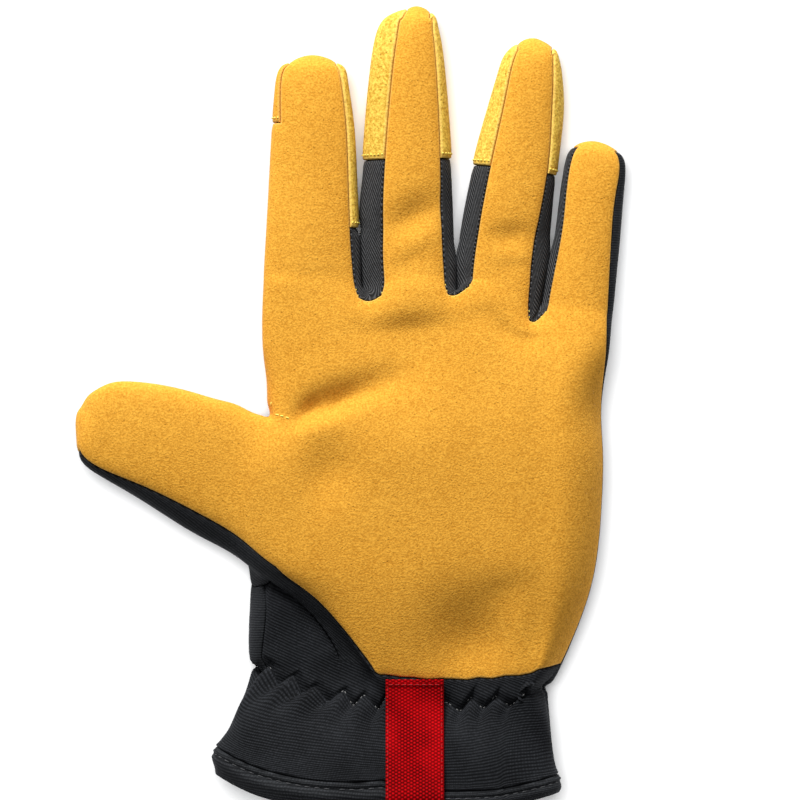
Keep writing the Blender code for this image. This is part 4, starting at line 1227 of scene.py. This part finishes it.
def cloth_piece(panel, shell):
    """A panel as a closed wall with rounded edges, in its own material."""
    own = shell.faces[shell.tags == PANEL_INDEX[panel.name]]
    rim, inward = rim_sides(shell, own)
    used = np.unique(own)
    local = np.full(len(shell.points), -1)
    local[used] = np.arange(len(used))
    place = shell.points[used]
    normal = shell.normals[used]
    rims = sorted(inward)
    distance, nearest = edge_distance(shell, used, rims)
    lift = panel_lift(panel, shell, used, distance)
    outer = place + normal * lift[:, None]
    inner = place - normal * (panel.wall - np.minimum(lift, 0.0))[:, None]
    half_gap = np.full(len(used), 0.5 * SEAM_GAP)
    rounding = np.full(len(used), EDGE_ROUND)
    if panel.name in BAND_PANELS:
        hidden = local[np.intersect1d(shell.band_end, used)]
        half_gap[hidden] = 0.0
        rounding[hidden] = HIDDEN_ROUND
    sewn = local[np.intersect1d(shell.seam, used)]
    half_gap[sewn] = 0.0
    rounding[sewn] = SEWN_ROUND
    rim_local = local[rims]
    side = np.array([inward[corner] for corner in rims])
    gap = half_gap[rim_local][:, None]
    soft = rounding[rim_local][:, None]
    up = normal[rim_local]
    base = outer[rim_local]
    turned = base + side * (gap + ROUND_SHARE * soft) - up * ROUND_SHARE * soft
    edge = base + side * gap - up * soft
    pull = np.clip(1.0 - distance / EDGE_PULL_REACH, 0.0, 1.0)[:, None]
    outer += (side * (gap + soft))[nearest] * pull
    inner += (side * gap)[nearest] * pull
    count = len(used)
    faces = local[own].tolist()
    faces += (local[own][:, ::-1] + count).tolist()
    rungs = {}
    for number, corner in enumerate(rims, start=2 * count):
        outermost = int(local[corner])
        rungs[corner] = (outermost, number, number + len(rims), outermost + count)
    for a, b in rim:
        for k in range(3):
            faces.append([rungs[b][k], rungs[a][k], rungs[a][k + 1], rungs[b][k + 1]])
    corners = np.vstack([outer, inner, turned, edge])
    corners[:, 2] = np.maximum(corners[:, 2], -OFFSET[2])
    across, along = weave_places(panel, shell, used)
    weave = np.column_stack([across, along, np.zeros(count)])
    weave = np.vstack([weave, weave, weave[rim_local], weave[rim_local]])
    # Distance from the rim, read by the suede looks for their painted rim highlight.
    margin = np.concatenate([distance, distance, np.zeros(2 * len(rims))])
    piece = add_piece(panel.name + "_cloth", corners, faces, LOOKS[panel.name])
    store(piece, "weave", weave)
    store(piece, "margin", margin)
    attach(piece, "root")
    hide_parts(panel.name)
    return corners, faces


def add_piece(name, corners, faces, material):
    """A smooth object from corners in millimetres."""
    mesh = bpy.data.meshes.new(name)
    mesh.from_pydata(((np.asarray(corners) + OFFSET) * MILLIMETRE).tolist(), [], faces)
    mesh.polygons.foreach_set("use_smooth", [True] * len(mesh.polygons))
    mesh.set_sharp_from_angle(angle=math.radians(SHARP_ANGLE))
    mesh.materials.append(material)
    piece = bpy.data.objects.new(name, mesh)
    bpy.context.scene.collection.objects.link(piece)
    return piece


def store(piece, name, rows):
    """Keeps numbers or vectors with the points of a piece, for its material."""
    rows = np.asarray(rows, np.float32)
    kind, field = ("FLOAT", "value") if rows.ndim == 1 else ("FLOAT_VECTOR", "vector")
    piece.data.attributes.new(name, kind, "POINT").data.foreach_set(field, rows.ravel())


# Stitches
Thread = namedtuple("Thread", "share size rise")
THREAD_SHAPE = (
    Thread(0.00, 0.45, -0.60),
    Thread(0.20, 0.90, 0.30),
    Thread(0.50, 1.00, 0.55),
    Thread(0.80, 0.90, 0.30),
    Thread(1.00, 0.45, -0.60),
)
THREAD_SIDES = 6
SEAT_REACH = 3.0
SEAT_TILT = 0.3
RAY_TOP = 1000.0


def tube_faces(base, rings, sides):
    """Quads between closed rings of corners, with both ends shut."""
    faces = []
    for near in range(base, base + (rings - 1) * sides, sides):
        for k in range(sides):
            after = (k + 1) % sides
            faces.append([near + k, near + after, near + sides + after, near + sides + k])
    last = base + (rings - 1) * sides
    faces.append([base + k for k in reversed(range(sides))])
    faces.append([last + k for k in range(sides)])
    return faces


def from_above(tree, x, y):
    """Where the cloth is met straight from above, if it is."""
    return tree.ray_cast(Vector((x, y, RAY_TOP)), Vector((0.0, 0.0, -1.0)))[0]


class Seams:
    """Gathers stitches and lays them on the cloth."""

    def __init__(self, tree):
        self.tree = tree
        self.corners = []
        self.faces = []

    def seat(self, place):
        """The cloth under a stitch: from above on the palm side, otherwise the nearest."""
        top = Vector((place[0], place[1], 2.0 * PALM_THICK))
        hit = self.tree.ray_cast(top, Vector((0.0, 0.0, -1.0)))
        if hit[0] is None or abs(hit[0].z - place[2]) > SEAT_REACH or hit[1].z < SEAT_TILT:
            hit = self.tree.find_nearest(Vector(place))
        return np.array(hit[0]), np.array(hit[1])

    def dash(self, start, end, radius):
        """One stitch, its ends sunk into the cloth."""
        normal = self.seat(0.5 * (start + end))[1]
        places = [self.seat(start)[0], self.seat(end)[0]]
        run = unit(places[1] - places[0])
        side = unit(np.cross(run, normal))
        up = np.cross(side, run)
        base = len(self.corners)
        for thread in THREAD_SHAPE:
            centre = lerp(places[0], places[1], thread.share) + up * radius * thread.rise
            for k in range(THREAD_SIDES):
                turn = 2.0 * math.pi * k / THREAD_SIDES
                out = side * math.cos(turn) + up * math.sin(turn)
                self.corners.append(centre + out * radius * thread.size)
        self.faces += tube_faces(base, len(THREAD_SHAPE), THREAD_SIDES)

    def row(self, path, length, space, radius, start=0.0):
        """Stitches of one length along a path, with a space between them."""
        path = np.asarray(path)
        steps = np.linalg.norm(np.diff(path, axis=0), axis=1)
        runs = np.concatenate([[0.0], np.cumsum(steps)])
        at = start
        while at + length <= runs[-1] + 1e-6:
            start, end = (np.array([np.interp(place, runs, path[:, k]) for k in range(3)])
                          for place in (at, at + length))
            self.dash(start, end, radius)
            at += length + space

    def piece(self, name, material, slot):
        piece = add_piece(name, self.corners, self.faces, material)
        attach(piece, "root")
        return piece


# Materials
WHITE = (1.0, 1.0, 1.0)
SHEEN_ROUGHNESS = 0.45
# Painted shade: how dark the suede's small pits are made against its deep colour.
PAINTED_PIT_SHADE = 0.5


def connect(tree, socket, value):
    """Sets an input, or joins it to what a Value works out. A colour gets its alpha."""
    if isinstance(value, Value):
        tree.links.new(value.socket, socket)
    elif isinstance(value, tuple):
        socket.default_value = value + (1.0,)
    else:
        socket.default_value = value


class Value:
    """What a material works out over the surface. Numbers join with the usual signs."""

    def __init__(self, tree, socket):
        self.tree = tree
        self.socket = socket

    def math(self, operation, *others):
        node = self.tree.nodes.new("ShaderNodeMath")
        node.operation = operation
        for socket, value in zip(node.inputs, (self,) + others):
            connect(self.tree, socket, value)
        return Value(self.tree, node.outputs[0])

    def __add__(self, other):
        return self.math("ADD", other)

    def __sub__(self, other):
        return self.math("SUBTRACT", other)

    def __mul__(self, other):
        return self.math("MULTIPLY", other)

    def ranged(self, low, high, to_low=0.0, to_high=1.0):
        """Taken from one range to another and held at its ends."""
        node = self.tree.nodes.new("ShaderNodeMapRange")
        for name, given in (("Value", self), ("From Min", low), ("From Max", high),
                            ("To Min", to_low), ("To Max", to_high)):
            connect(self.tree, node.inputs[name], given)
        return Value(self.tree, node.outputs["Result"])

    def wave(self, pitch, shift=0.0):
        """Cosine from 0 to 1 with one pitch in millimetres."""
        turned = self * (2.0 * math.pi / pitch) + shift
        return turned.math("COSINE") * 0.5 + 0.5


class Look:
    """A material in the making: what it works out, and the shader that this goes to."""

    def __init__(self, name, roughness, sheen=0.0, tint=WHITE, specular=0.3):
        self.material = bpy.data.materials.new(name)
        self.material.use_nodes = True
        self.tree = self.material.node_tree
        self.shader = self.tree.nodes["Principled BSDF"]
        for socket, value in (("Roughness", roughness), ("Specular IOR Level", specular),
                              ("Sheen Weight", sheen), ("Sheen Roughness", SHEEN_ROUGHNESS),
                              ("Sheen Tint", tint)):
            connect(self.tree, self.shader.inputs[socket], value)
        self.places = self.tree.nodes.new("ShaderNodeTexCoord").outputs["Object"]

    def texture(self, kind, size, output, **settings):
        """A texture over the object, its features of one size in millimetres."""
        node = self.tree.nodes.new(kind)
        self.tree.links.new(self.places, node.inputs["Vector"])
        node.inputs["Scale"].default_value = 1.0 / (size * MILLIMETRE)
        for name, value in settings.items():
            node.inputs[name].default_value = value
        return Value(self.tree, node.outputs[output])

    def cloudy(self, size, detail=2.0, roughness=0.5):
        return self.texture("ShaderNodeTexNoise", size, 0, Detail=detail, Roughness=roughness)

    def specks(self, size):
        return self.texture("ShaderNodeTexVoronoi", size, "Distance")

    def stored(self, name, output):
        """What the piece's own points hold under a name."""
        node = self.tree.nodes.new("ShaderNodeAttribute")
        node.attribute_name = name
        return Value(self.tree, node.outputs[output])

    def weave_axes(self):
        """Across and along the weave, in millimetres."""
        node = self.tree.nodes.new("ShaderNodeSeparateXYZ")
        connect(self.tree, node.inputs[0], self.stored("weave", "Vector"))
        return [Value(self.tree, node.outputs[k]) for k in range(2)]

    def blended(self, share, first, second):
        node = self.tree.nodes.new("ShaderNodeMix")
        node.data_type = "RGBA"
        for number, value in ((0, share), (6, first), (7, second)):
            connect(self.tree, node.inputs[number], value)
        return Value(self.tree, node.outputs[2])

    def finished(self, colour, height=None, depth=0.0, strength=1.0):
        """The material, with colour and relief joined to its shader."""
        connect(self.tree, self.shader.inputs["Base Color"], colour)
        if height is not None:
            node = self.tree.nodes.new("ShaderNodeBump")
            connect(self.tree, node.inputs["Height"], height)
            node.inputs["Distance"].default_value = depth * MILLIMETRE
            node.inputs["Strength"].default_value = strength
            self.tree.links.new(node.outputs[0], self.shader.inputs["Normal"])
        return self.material


def suede_look(name, deep, light, pale, grain, contrast, speck):
    """Napped synthetic suede: fine grain, small dark pits, soft cloudy patches and a painted highlight
    along the rims.
    """
    look = Look(name, 0.9, 0.08, (1.0, 0.75, 0.4), 0.1)
    fine = look.cloudy(grain, 3.0, 0.6).ranged(0.36, 0.64)
    coarse = look.cloudy(3.2 * grain, 2.0, 0.6).ranged(0.36, 0.64)
    broad = look.cloudy(26.0).ranged(0.35, 0.65)
    share = fine * contrast + coarse * (0.6 * (1.0 - contrast)) + broad * (0.4 * (1.0 - contrast))
    # Small pits, sunk in the bump and darkened in colour: partly darker fibre ends, partly painted shade
    # in the pits.
    pits = look.specks(2.2 * grain).ranged(0.12, 0.22, 1.0, 0.0)
    pits = pits * look.cloudy(3.0 * grain, 1.0).ranged(0.47, 0.56)
    dark = tuple(PAINTED_PIT_SHADE * c for c in deep)
    colour = look.blended(pits * speck, look.blended(share, deep, light), dark)
    # Painted highlight: up to 35 % of the pale colour over the last half millimetre before each rim,
    # where the rounded edge catches the light.
    edge = look.stored("margin", "Fac").ranged(0.0, 0.45, 0.35, 0.0)
    return look.finished(look.blended(edge, colour, pale), fine - pits * 1.4, 0.16, 0.55)


def knit_look(name, deep, light, across_pitch, along_pitch, depth):
    """Ribbed stretch knit: wales along the piece crossed by fine rows, with painted highlight on the
    loops and painted shade between them.
    """
    look = Look(name, 0.85, 0.03, (0.8, 0.85, 1.0), 0.12)
    across, along = look.weave_axes()
    drift = look.cloudy(6.0)
    wales = (drift * 0.5 + across).wave(across_pitch)
    rows = (drift * 0.6 + along).wave(along_pitch)
    loops = rows * (wales * 0.5 + 0.5)
    broad = look.cloudy(14.0).ranged(0.35, 0.65)
    # Painted highlight and shade: the loop tops take the light colour and the hollows between them the
    # deep one, over the black yarn's own tone.
    share = (loops * 0.75 + broad * 0.2) * look.cloudy(0.7).ranged(0.3, 0.7, 0.55, 1.25)
    return look.finished(look.blended(share, deep, light), loops, depth, 0.8)


def twill_look(name, deep, light, pitch):
    """Side strips: raised diagonal ribs, with painted highlight on their tops and painted shade between
    them.
    """
    look = Look(name, 0.85, 0.03, (0.9, 0.92, 1.0), 0.12)
    across, along = look.weave_axes()
    ribs = (across * 0.72 + along * 0.69).wave(pitch).math("POWER", 2.0)
    cross = (across * 0.69 - along * 0.72).wave(0.62 * pitch)
    # Painted highlight and shade: the rib tops take the light colour and the hollows the deep one, over
    # the black yarn's own tone.
    share = (ribs * 0.7 + cross * 0.2) * look.cloudy(0.6).ranged(0.3, 0.7, 0.6, 1.2)
    return look.finished(look.blended(share, deep, light), ribs, 0.18, 0.9)


def webbing_look(name, deep, light, pitch):
    """Woven tape: staggered floats in columns, with painted highlight on the floats and painted shade
    between them.
    """
    look = Look(name, 0.8, 0.0, WHITE, 0.03)
    across, along = look.weave_axes()
    columns = across.wave(pitch, math.pi)
    half = across.math("DIVIDE", pitch).math("FLOOR") * math.pi
    floats = along.wave(1.15 * pitch, half)
    weave = floats * (columns * 0.7 + 0.3)
    broad = look.cloudy(11.0, 1.0).ranged(0.35, 0.65)
    # Painted highlight and shade: the floats take the light red and the gaps between floats and columns
    # the deep red, over the red yarn's own tone.
    share = (weave * 0.85 + broad * 0.2) * look.cloudy(0.5).ranged(0.3, 0.7, 0.7, 1.2)
    return look.finished(look.blended(share, deep, light), weave, 0.18, 0.8)


def thread_look(name, deep, light):
    """Twisted sewing thread."""
    look = Look(name, 0.6, 0.1)
    twist = look.cloudy(0.35).ranged(0.35, 0.65)
    return look.finished(look.blended(twist, deep, light), twist, 0.06, 0.6)


def floor_look():
    """Pale table top, hardly mottled."""
    look = Look("floor_white", 0.7)
    faint = look.cloudy(60.0, 1.0).ranged(0.3, 0.7)
    return look.finished(look.blended(faint, (0.90, 0.905, 0.91), (0.92, 0.92, 0.92)))


# The third colour of each suede is its painted rim highlight.
TAN = suede_look("tan_suede_look", (0.56, 0.234, 0.018), (0.91, 0.458, 0.056), (0.86, 0.52, 0.14),
                 0.62, 0.72, 0.35)
BRIGHT = suede_look("bright_suede_look", (0.50, 0.25, 0.018), (1.0, 0.71, 0.125), (0.92, 0.66, 0.20),
                    0.85, 0.72, 0.6)
# For the twill and both knits, the light colour is painted highlight on the raised yarn and the deep
# colour painted shade between it, over the black yarn's own tone.
TWILL = twill_look("twill_look", (0.001, 0.001, 0.0015), (0.125, 0.127, 0.132), 1.15)
KNIT = knit_look("plain_knit_look", (0.003, 0.0035, 0.0045), (0.040, 0.043, 0.048), 0.62, 0.80, 0.10)
RIBBED = knit_look("ribbed_knit_look", (0.001, 0.0012, 0.0018), (0.034, 0.037, 0.043), 0.58, 0.90, 0.16)
# The webbing's light red is painted highlight on the floats and its deep red painted shade between them.
RED = webbing_look("red_webbing_look", (0.07, 0.0004, 0.0008), (0.74, 0.004, 0.008), 0.97)
YELLOW_THREAD = thread_look("yellow_thread_look", (0.90, 0.62, 0.06), (1.0, 0.90, 0.22))
GREY_THREAD = thread_look("grey_thread_look", (0.12, 0.12, 0.12), (0.30, 0.30, 0.30))
DARK_THREAD = thread_look("dark_thread_look", (0.020, 0.021, 0.024), (0.080, 0.082, 0.088))
RED_THREAD = thread_look("red_thread_look", (0.25, 0.003, 0.004), (0.50, 0.02, 0.02))
SLOT_LOOKS = {"tan_suede": TAN, "bright_suede": BRIGHT, "black_twill": TWILL, "black_knit": KNIT,
              "ribbed_knit": RIBBED}
LOOKS = {panel.name: SLOT_LOOKS[panel.material] for panel in PANELS}
LOOKS["patch_index_left"] = TAN


# Pull tab: rows along it and columns over it, the thicker turned-in end, selvedges and clearances
TAB_ROWS = 96
TAB_COLUMNS = 16
TAB_TURNS = 12
TAB_FOLD = 2.0
TAB_FOLD_RISE = 0.35
TAB_FOLD_SOFTNESS = 0.5
TAB_THINNING = 0.85
TAB_EDGE_ROUND = 0.30
TAB_EDGE = (0.12, 0.9)
TAB_OVER = 0.12
TAB_UNDER = 0.15
TAB_ROUND_HEM = 0.9
TAB_PAST_MOUTH = 0.3
TAB_TURN_GAP = 0.2
TAB_FELT_ACROSS = (-0.45, -0.3, -0.15, 0.0, 0.15, 0.3, 0.45)
TAB_FELT_INSIDE = (0.1, 0.4, 0.7, 1.0)
TAB_LEG_SHARES = (0.05, 0.3, 0.6, 1.0)
TAB_STRETCH_ROUNDS = 300
TAB_SOFTEN_ROUNDS = 40


def evened(heights, rounds, least=None):
    """Heights smoothed along the row, nowhere under the least ones."""
    smooth = heights.copy()
    for _ in range(rounds):
        smooth[1:-1] = 0.25 * smooth[:-2] + 0.5 * smooth[1:-1] + 0.25 * smooth[2:]
        if least is not None:
            smooth = np.maximum(smooth, least)
    return smooth


def tab_profile(tree, mouth_y):
    """Inner line of the tab in the y-z plane: over the wrist and cuff, round the hem and inside."""
    centre = TAB_ACROSS * SPAN
    xs = [centre + TAB_WIDTH * share for share in TAB_FELT_ACROSS]
    line = []
    for step in range(TAB_ROWS):
        y = lerp(TAB_START, mouth_y + TAB_PAST_MOUTH, step / (TAB_ROWS - 1))
        hits = [from_above(tree, x, y) for x in xs]
        line.append([y, max(hit.z for hit in hits if hit is not None) + TAB_OVER])
    line = np.array(line)
    stretched = evened(line[:, 1], TAB_STRETCH_ROUNDS, line[:, 1])
    line[:, 1] = evened(stretched, TAB_SOFTEN_ROUNDS)
    below = []
    for x in xs:
        for share in TAB_FELT_INSIDE:
            start = Vector((x, mouth_y + TAB_INNER_LEG * share, 0.5 * MOUTH_THICK))
            hit = tree.ray_cast(start, Vector((0.0, 0.0, 1.0)))[0]
            if hit is not None:
                below.append(hit.z)
    low = min(below) - TAB_UNDER
    high = line[-1, 1]
    turn = []
    for k in range(1, TAB_TURNS):
        angle = math.pi * k / TAB_TURNS
        turn.append([mouth_y - TAB_TURN_GAP - TAB_ROUND_HEM * math.sin(angle),
                     lerp(high, low, 0.5 - 0.5 * math.cos(angle))])
    leg = [[mouth_y + TAB_INNER_LEG * share, low] for share in TAB_LEG_SHARES]
    return np.vstack([line, turn, leg])


def build_tab(tree, mouth_y):
    """The folded webbing as a closed strip with soft selvedges."""
    line = tab_profile(tree, mouth_y)
    steps = np.hypot(*np.diff(line, axis=0).T)
    runs = np.concatenate([[0.0], np.cumsum(steps)])
    tangent = unit(np.gradient(line, axis=0))
    side = np.column_stack([tangent[:, 1], -tangent[:, 0]])
    folded = np.clip((TAB_FOLD - runs) / TAB_FOLD_SOFTNESS + 0.5, 0.0, 1.0)
    thick = TAB_THICK * TAB_THINNING + TAB_FOLD_RISE * folded
    inset, shoulder = TAB_EDGE
    xs = [k / TAB_COLUMNS * TAB_WIDTH for k in range(1, TAB_COLUMNS)]
    ring = [(0.0, 0.0), (0.0, 1.0 - TAB_EDGE_ROUND), (inset, shoulder)]
    ring += [(x, 1.0) for x in xs]
    ring += [(TAB_WIDTH - inset, shoulder), (TAB_WIDTH, 1.0 - TAB_EDGE_ROUND), (TAB_WIDTH, 0.0)]
    ring += [(x, 0.0) for x in reversed(xs)]
    corners = []
    weave = []
    for row in range(len(line)):
        for x, height in ring:
            y, z = line[row] + side[row] * thick[row] * height
            corners.append((TAB_LEFT + x, y, z))
            weave.append((x, runs[row], 0.0))
    faces = tube_faces(0, len(line), len(ring))
    piece = add_piece("pull_tab_webbing", corners, faces, RED)
    work = bmesh.new()
    work.from_mesh(piece.data)
    bmesh.ops.recalc_face_normals(work, faces=work.faces)
    work.to_mesh(piece.data)
    work.free()
    store(piece, "weave", weave)
    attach(piece, "root")
    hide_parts("pull_tab")
    return piece, runs[-1], tree_of([(corners, faces)])


def tree_of(parts):
    """Search tree over the corners and faces of some pieces."""
    corners = []
    faces = []
    for own_corners, own_faces in parts:
        base = len(corners)
        corners += [Vector(c) for c in own_corners]
        faces += [[c + base for c in face] for face in own_faces]
    return BVHTree.FromPolygons(corners, faces)


# Camera in millimetres of film and metres of place, lamps in watts and metres, floor in metres
CAMERA_SENSOR = 36.0
CAMERA_LENS = 209.0
CAMERA_PLACE = (0.01584, 0.00346, 1.5)
Lamp = namedtuple("Lamp", "name place size power colour")
KEY_LAMP = Lamp("key", (-0.28, 1.15, 0.70), 0.6, 31.5, (1.0, 0.99, 0.97))
TABLE_LAMP = Lamp("table_lamp", (-0.2, 0.4, 2.0), 1.6, 62.0, (1.0, 1.0, 1.0))
SURROUND = 0.27
FLOOR_HALF = 3.0
FLOOR_HEIGHT = -0.0002


def look_at_glove():
    """Camera straight above, at the photograph's frame."""
    data = bpy.data.cameras.new("camera")
    data.sensor_width = CAMERA_SENSOR
    data.lens = CAMERA_LENS
    camera = bpy.data.objects.new("camera", data)
    camera.location = CAMERA_PLACE
    bpy.context.scene.collection.objects.link(camera)
    bpy.context.scene.camera = camera


def light_area(lamp, receivers):
    """A round soft lamp that lights one group of objects."""
    data = bpy.data.lights.new(lamp.name, "AREA")
    data.shape = "DISK"
    data.size = lamp.size
    data.energy = lamp.power
    data.color = lamp.colour
    light = bpy.data.objects.new(lamp.name, data)
    light.location = lamp.place
    light.rotation_euler = (-Vector(lamp.place)).to_track_quat("-Z", "Y").to_euler()
    light.light_linking.receiver_collection = receivers
    bpy.context.scene.collection.objects.link(light)


def grouped(name, objects):
    """A collection of its own for what one lamp lights."""
    group = bpy.data.collections.new(name)
    for item in objects:
        group.objects.link(item)
    return group


def light_studio(floor):
    """One soft key on the glove, a broad lamp on the table and an even surround."""
    glove = grouped("glove_group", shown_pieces())
    table = grouped("table_group", [floor])
    light_area(KEY_LAMP, glove)
    light_area(TABLE_LAMP, table)
    world = bpy.data.worlds.new("studio")
    bpy.context.scene.world = world
    world.use_nodes = True
    background = world.node_tree.nodes["Background"]
    background.inputs["Color"].default_value = (1.0, 1.0, 1.0, 1.0)
    background.inputs["Strength"].default_value = SURROUND


def lay_floor():
    """A pale table under the glove, as part of the stage."""
    mesh = bpy.data.meshes.new("floor")
    places = [(FLOOR_HALF * x, FLOOR_HALF * y, FLOOR_HEIGHT)
              for x, y in ((-1.0, -1.0), (1.0, -1.0), (1.0, 1.0), (-1.0, 1.0))]
    mesh.from_pydata(places, [], [(0, 1, 2, 3)])
    mesh.materials.append(floor_look())
    floor = bpy.data.objects.new("floor", mesh)
    bpy.context.scene.collection.objects.link(floor)
    floor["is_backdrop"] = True
    return floor


# Rows of stitches: length of a stitch, space between two, thread radius, and where the row starts
Stitch = namedtuple("Stitch", "length space radius start")
PATCH_STITCH = Stitch(0.85, 0.55, 0.26, 0.3)
CROTCH_STITCH = Stitch(0.7, 1.3, 0.17, 0.6)
SUEDE_STITCH = Stitch(1.5, 0.4, 0.24, 0.0)
ZIGZAG_STITCH = Stitch(0.9, 0.55, 0.19, 0.2)
HEM_STITCH = Stitch(2.0, 1.1, 0.2, 0.0)
TAB_STITCH = Stitch(1.3, 1.0, 0.16, 0.0)
TAB_END_STITCH = Stitch(1.3, 0.8, 0.16, 0.0)
TAB_ROW_INSET = 0.75
TAB_ROW_FROM = 2.2
TAB_ROW_TO = 2.5
TAB_END_INSET = 1.0
TAB_TOP_END = 1.6
TAB_LOW_END = 2.0
PATCH_ROW_RISE = 1.6
PATCH_ROW_REACH = 2.5
PATCH_ROW_TILT = 0.6
CROTCH_ROW_DROP = 0.6
CROTCH_ROW_REACH = 5.0
ZIGZAG_HALF_ROW = 1.4
HEM_ROW_DROP = 2.3
THUMB_SEAM = ((1.9, -37.0), (4.0, -37.0), (6.3, -37.6), (8.1, -38.1), (9.4, -38.9))
INDEX_SEAM = ((1.6, -36.0), (2.6, -34.4), (2.9, -32.6))


def patch_row(seams, shell, name):
    """Stitches over the lower end of a fingertip patch."""
    digit = next(digit for digit in FINGERS if digit.name in name)
    own = shell.faces[shell.tags == PANEL_INDEX[name]]
    lowest = shell.points[own.ravel()][:, 1].min() + PATCH_ROW_REACH
    lean = math.radians(digit.lean)
    ahead = np.array([math.sin(lean), math.cos(lean), 0.0])
    edges = [(a, b) for a, b in shell.shared([name], CROTCH_PIECES + ("palm_panel",))
             if shell.points[[a, b], 1].max() < lowest
             and abs(np.dot(unit(shell.points[b] - shell.points[a]), ahead)) < PATCH_ROW_TILT]
    if edges:
        seams.row(shell.points[chained(edges)] + ahead * PATCH_ROW_RISE, *PATCH_STITCH)


def crotch_row(seams, shell, name):
    """Stitches round the bottom of a side strip between two fingers."""
    edges = shell.shared(["palm_panel"], [name])
    lowest = min(shell.points[[a, b], 1].min() for a, b in edges)
    low = [(a, b) for a, b in edges if shell.points[[a, b], 1].max() < lowest + CROTCH_ROW_REACH]
    seams.row(shell.points[chained(low)] - np.array([0.0, CROTCH_ROW_DROP, 0.0]), *CROTCH_STITCH)


def stitch_suede(shell, tree):
    """Yellow rows on the patches, round the crotches and where the thumb joins."""
    seams = Seams(tree)
    for name in PATCHES:
        patch_row(seams, shell, name)
    for name in CROTCH_PIECES:
        crotch_row(seams, shell, name)
    for line in (THUMB_SEAM, INDEX_SEAM):
        hits = [from_above(tree, x, y) for x, y in line]
        seams.row([tuple(hit) for hit in hits if hit is not None], *SUEDE_STITCH)
    seams.piece("yellow_stitches", YELLOW_THREAD, "tan_suede")


def stitch_cuff(shell, tree):
    """Grey stitches at the corners of the zigzag and a dark row along the hem."""
    zigzag = Seams(tree)
    above = ["wrist_gusset", "back_panel", "thumb_back"]
    loop = np.array(chained(shell.shared(["cuff"], above)))
    for place in shell.corners_of_zigzag:
        near = loop[np.abs(shell.run[loop] - place) < ZIGZAG_HALF_ROW]
        path = shell.points[near][np.argsort(shell.run[near])]
        if len(path) > 2:
            zigzag.row(path, *ZIGZAG_STITCH)
    zigzag.piece("zigzag_stitches", GREY_THREAD, "ribbed_knit")
    hem = Seams(tree)
    loop = shell.points[chained(shell.shared(["cuff"], ["hem_binding"]))]
    hem.row(loop - np.array([0.0, HEM_ROW_DROP, 0.0]), *HEM_STITCH)
    hem.piece("hem_stitches", DARK_THREAD, "black_knit")


def stitch_tab(tree, mouth_y):
    """Red rows along both selvedges and over both ends of the tab."""
    seams = Seams(tree)
    right = TAB_LEFT + TAB_WIDTH
    for x in (TAB_LEFT + TAB_ROW_INSET, right - TAB_ROW_INSET):
        ys = np.linspace(TAB_START - TAB_ROW_FROM, mouth_y + TAB_ROW_TO, 40)
        seams.row([tuple(from_above(tree, x, y)) for y in ys], *TAB_STITCH)
    for y in (TAB_START - TAB_TOP_END, mouth_y + TAB_LOW_END):
        xs = np.linspace(TAB_LEFT + TAB_END_INSET, right - TAB_END_INSET, 20)
        seams.row([tuple(from_above(tree, x, y)) for x in xs], *TAB_END_STITCH)
    return seams.piece("tab_stitches", RED_THREAD, "red_webbing")


def main():
    """Panels, tab, stitches, then camera and light."""
    cage = Cage()
    build_cuff(cage, build_hand(cage))
    plain = Shell(cage, PLAIN_LEVEL)
    fine = Shell(cage, FINE_LEVEL)
    parts = {}
    for panel in PANELS:
        parts[panel.name] = cloth_piece(panel, plain if panel.name in PLAIN_PANELS else fine)
    tree = tree_of(parts.values())
    around = tree_of([parts[name] for name in ("palm_panel", "wrist_gusset", "cuff", "hem_binding")])
    hem = parts["hem_binding"][0]
    near_tab = np.abs(hem[:, 0] - TAB_ACROSS * SPAN) < 0.6 * TAB_WIDTH
    mouth_y = hem[near_tab & (hem[:, 2] > 0.5 * MOUTH_THICK)][:, 1].min()
    tab, tab_length, tab_tree = build_tab(around, mouth_y)

    stitch_suede(fine, tree)
    stitch_cuff(fine, tree)
    stitches = stitch_tab(tab_tree, mouth_y)

    look_at_glove()
    light_studio(lay_floor())
    bpy.context.scene.view_settings.view_transform = "Standard"


main()
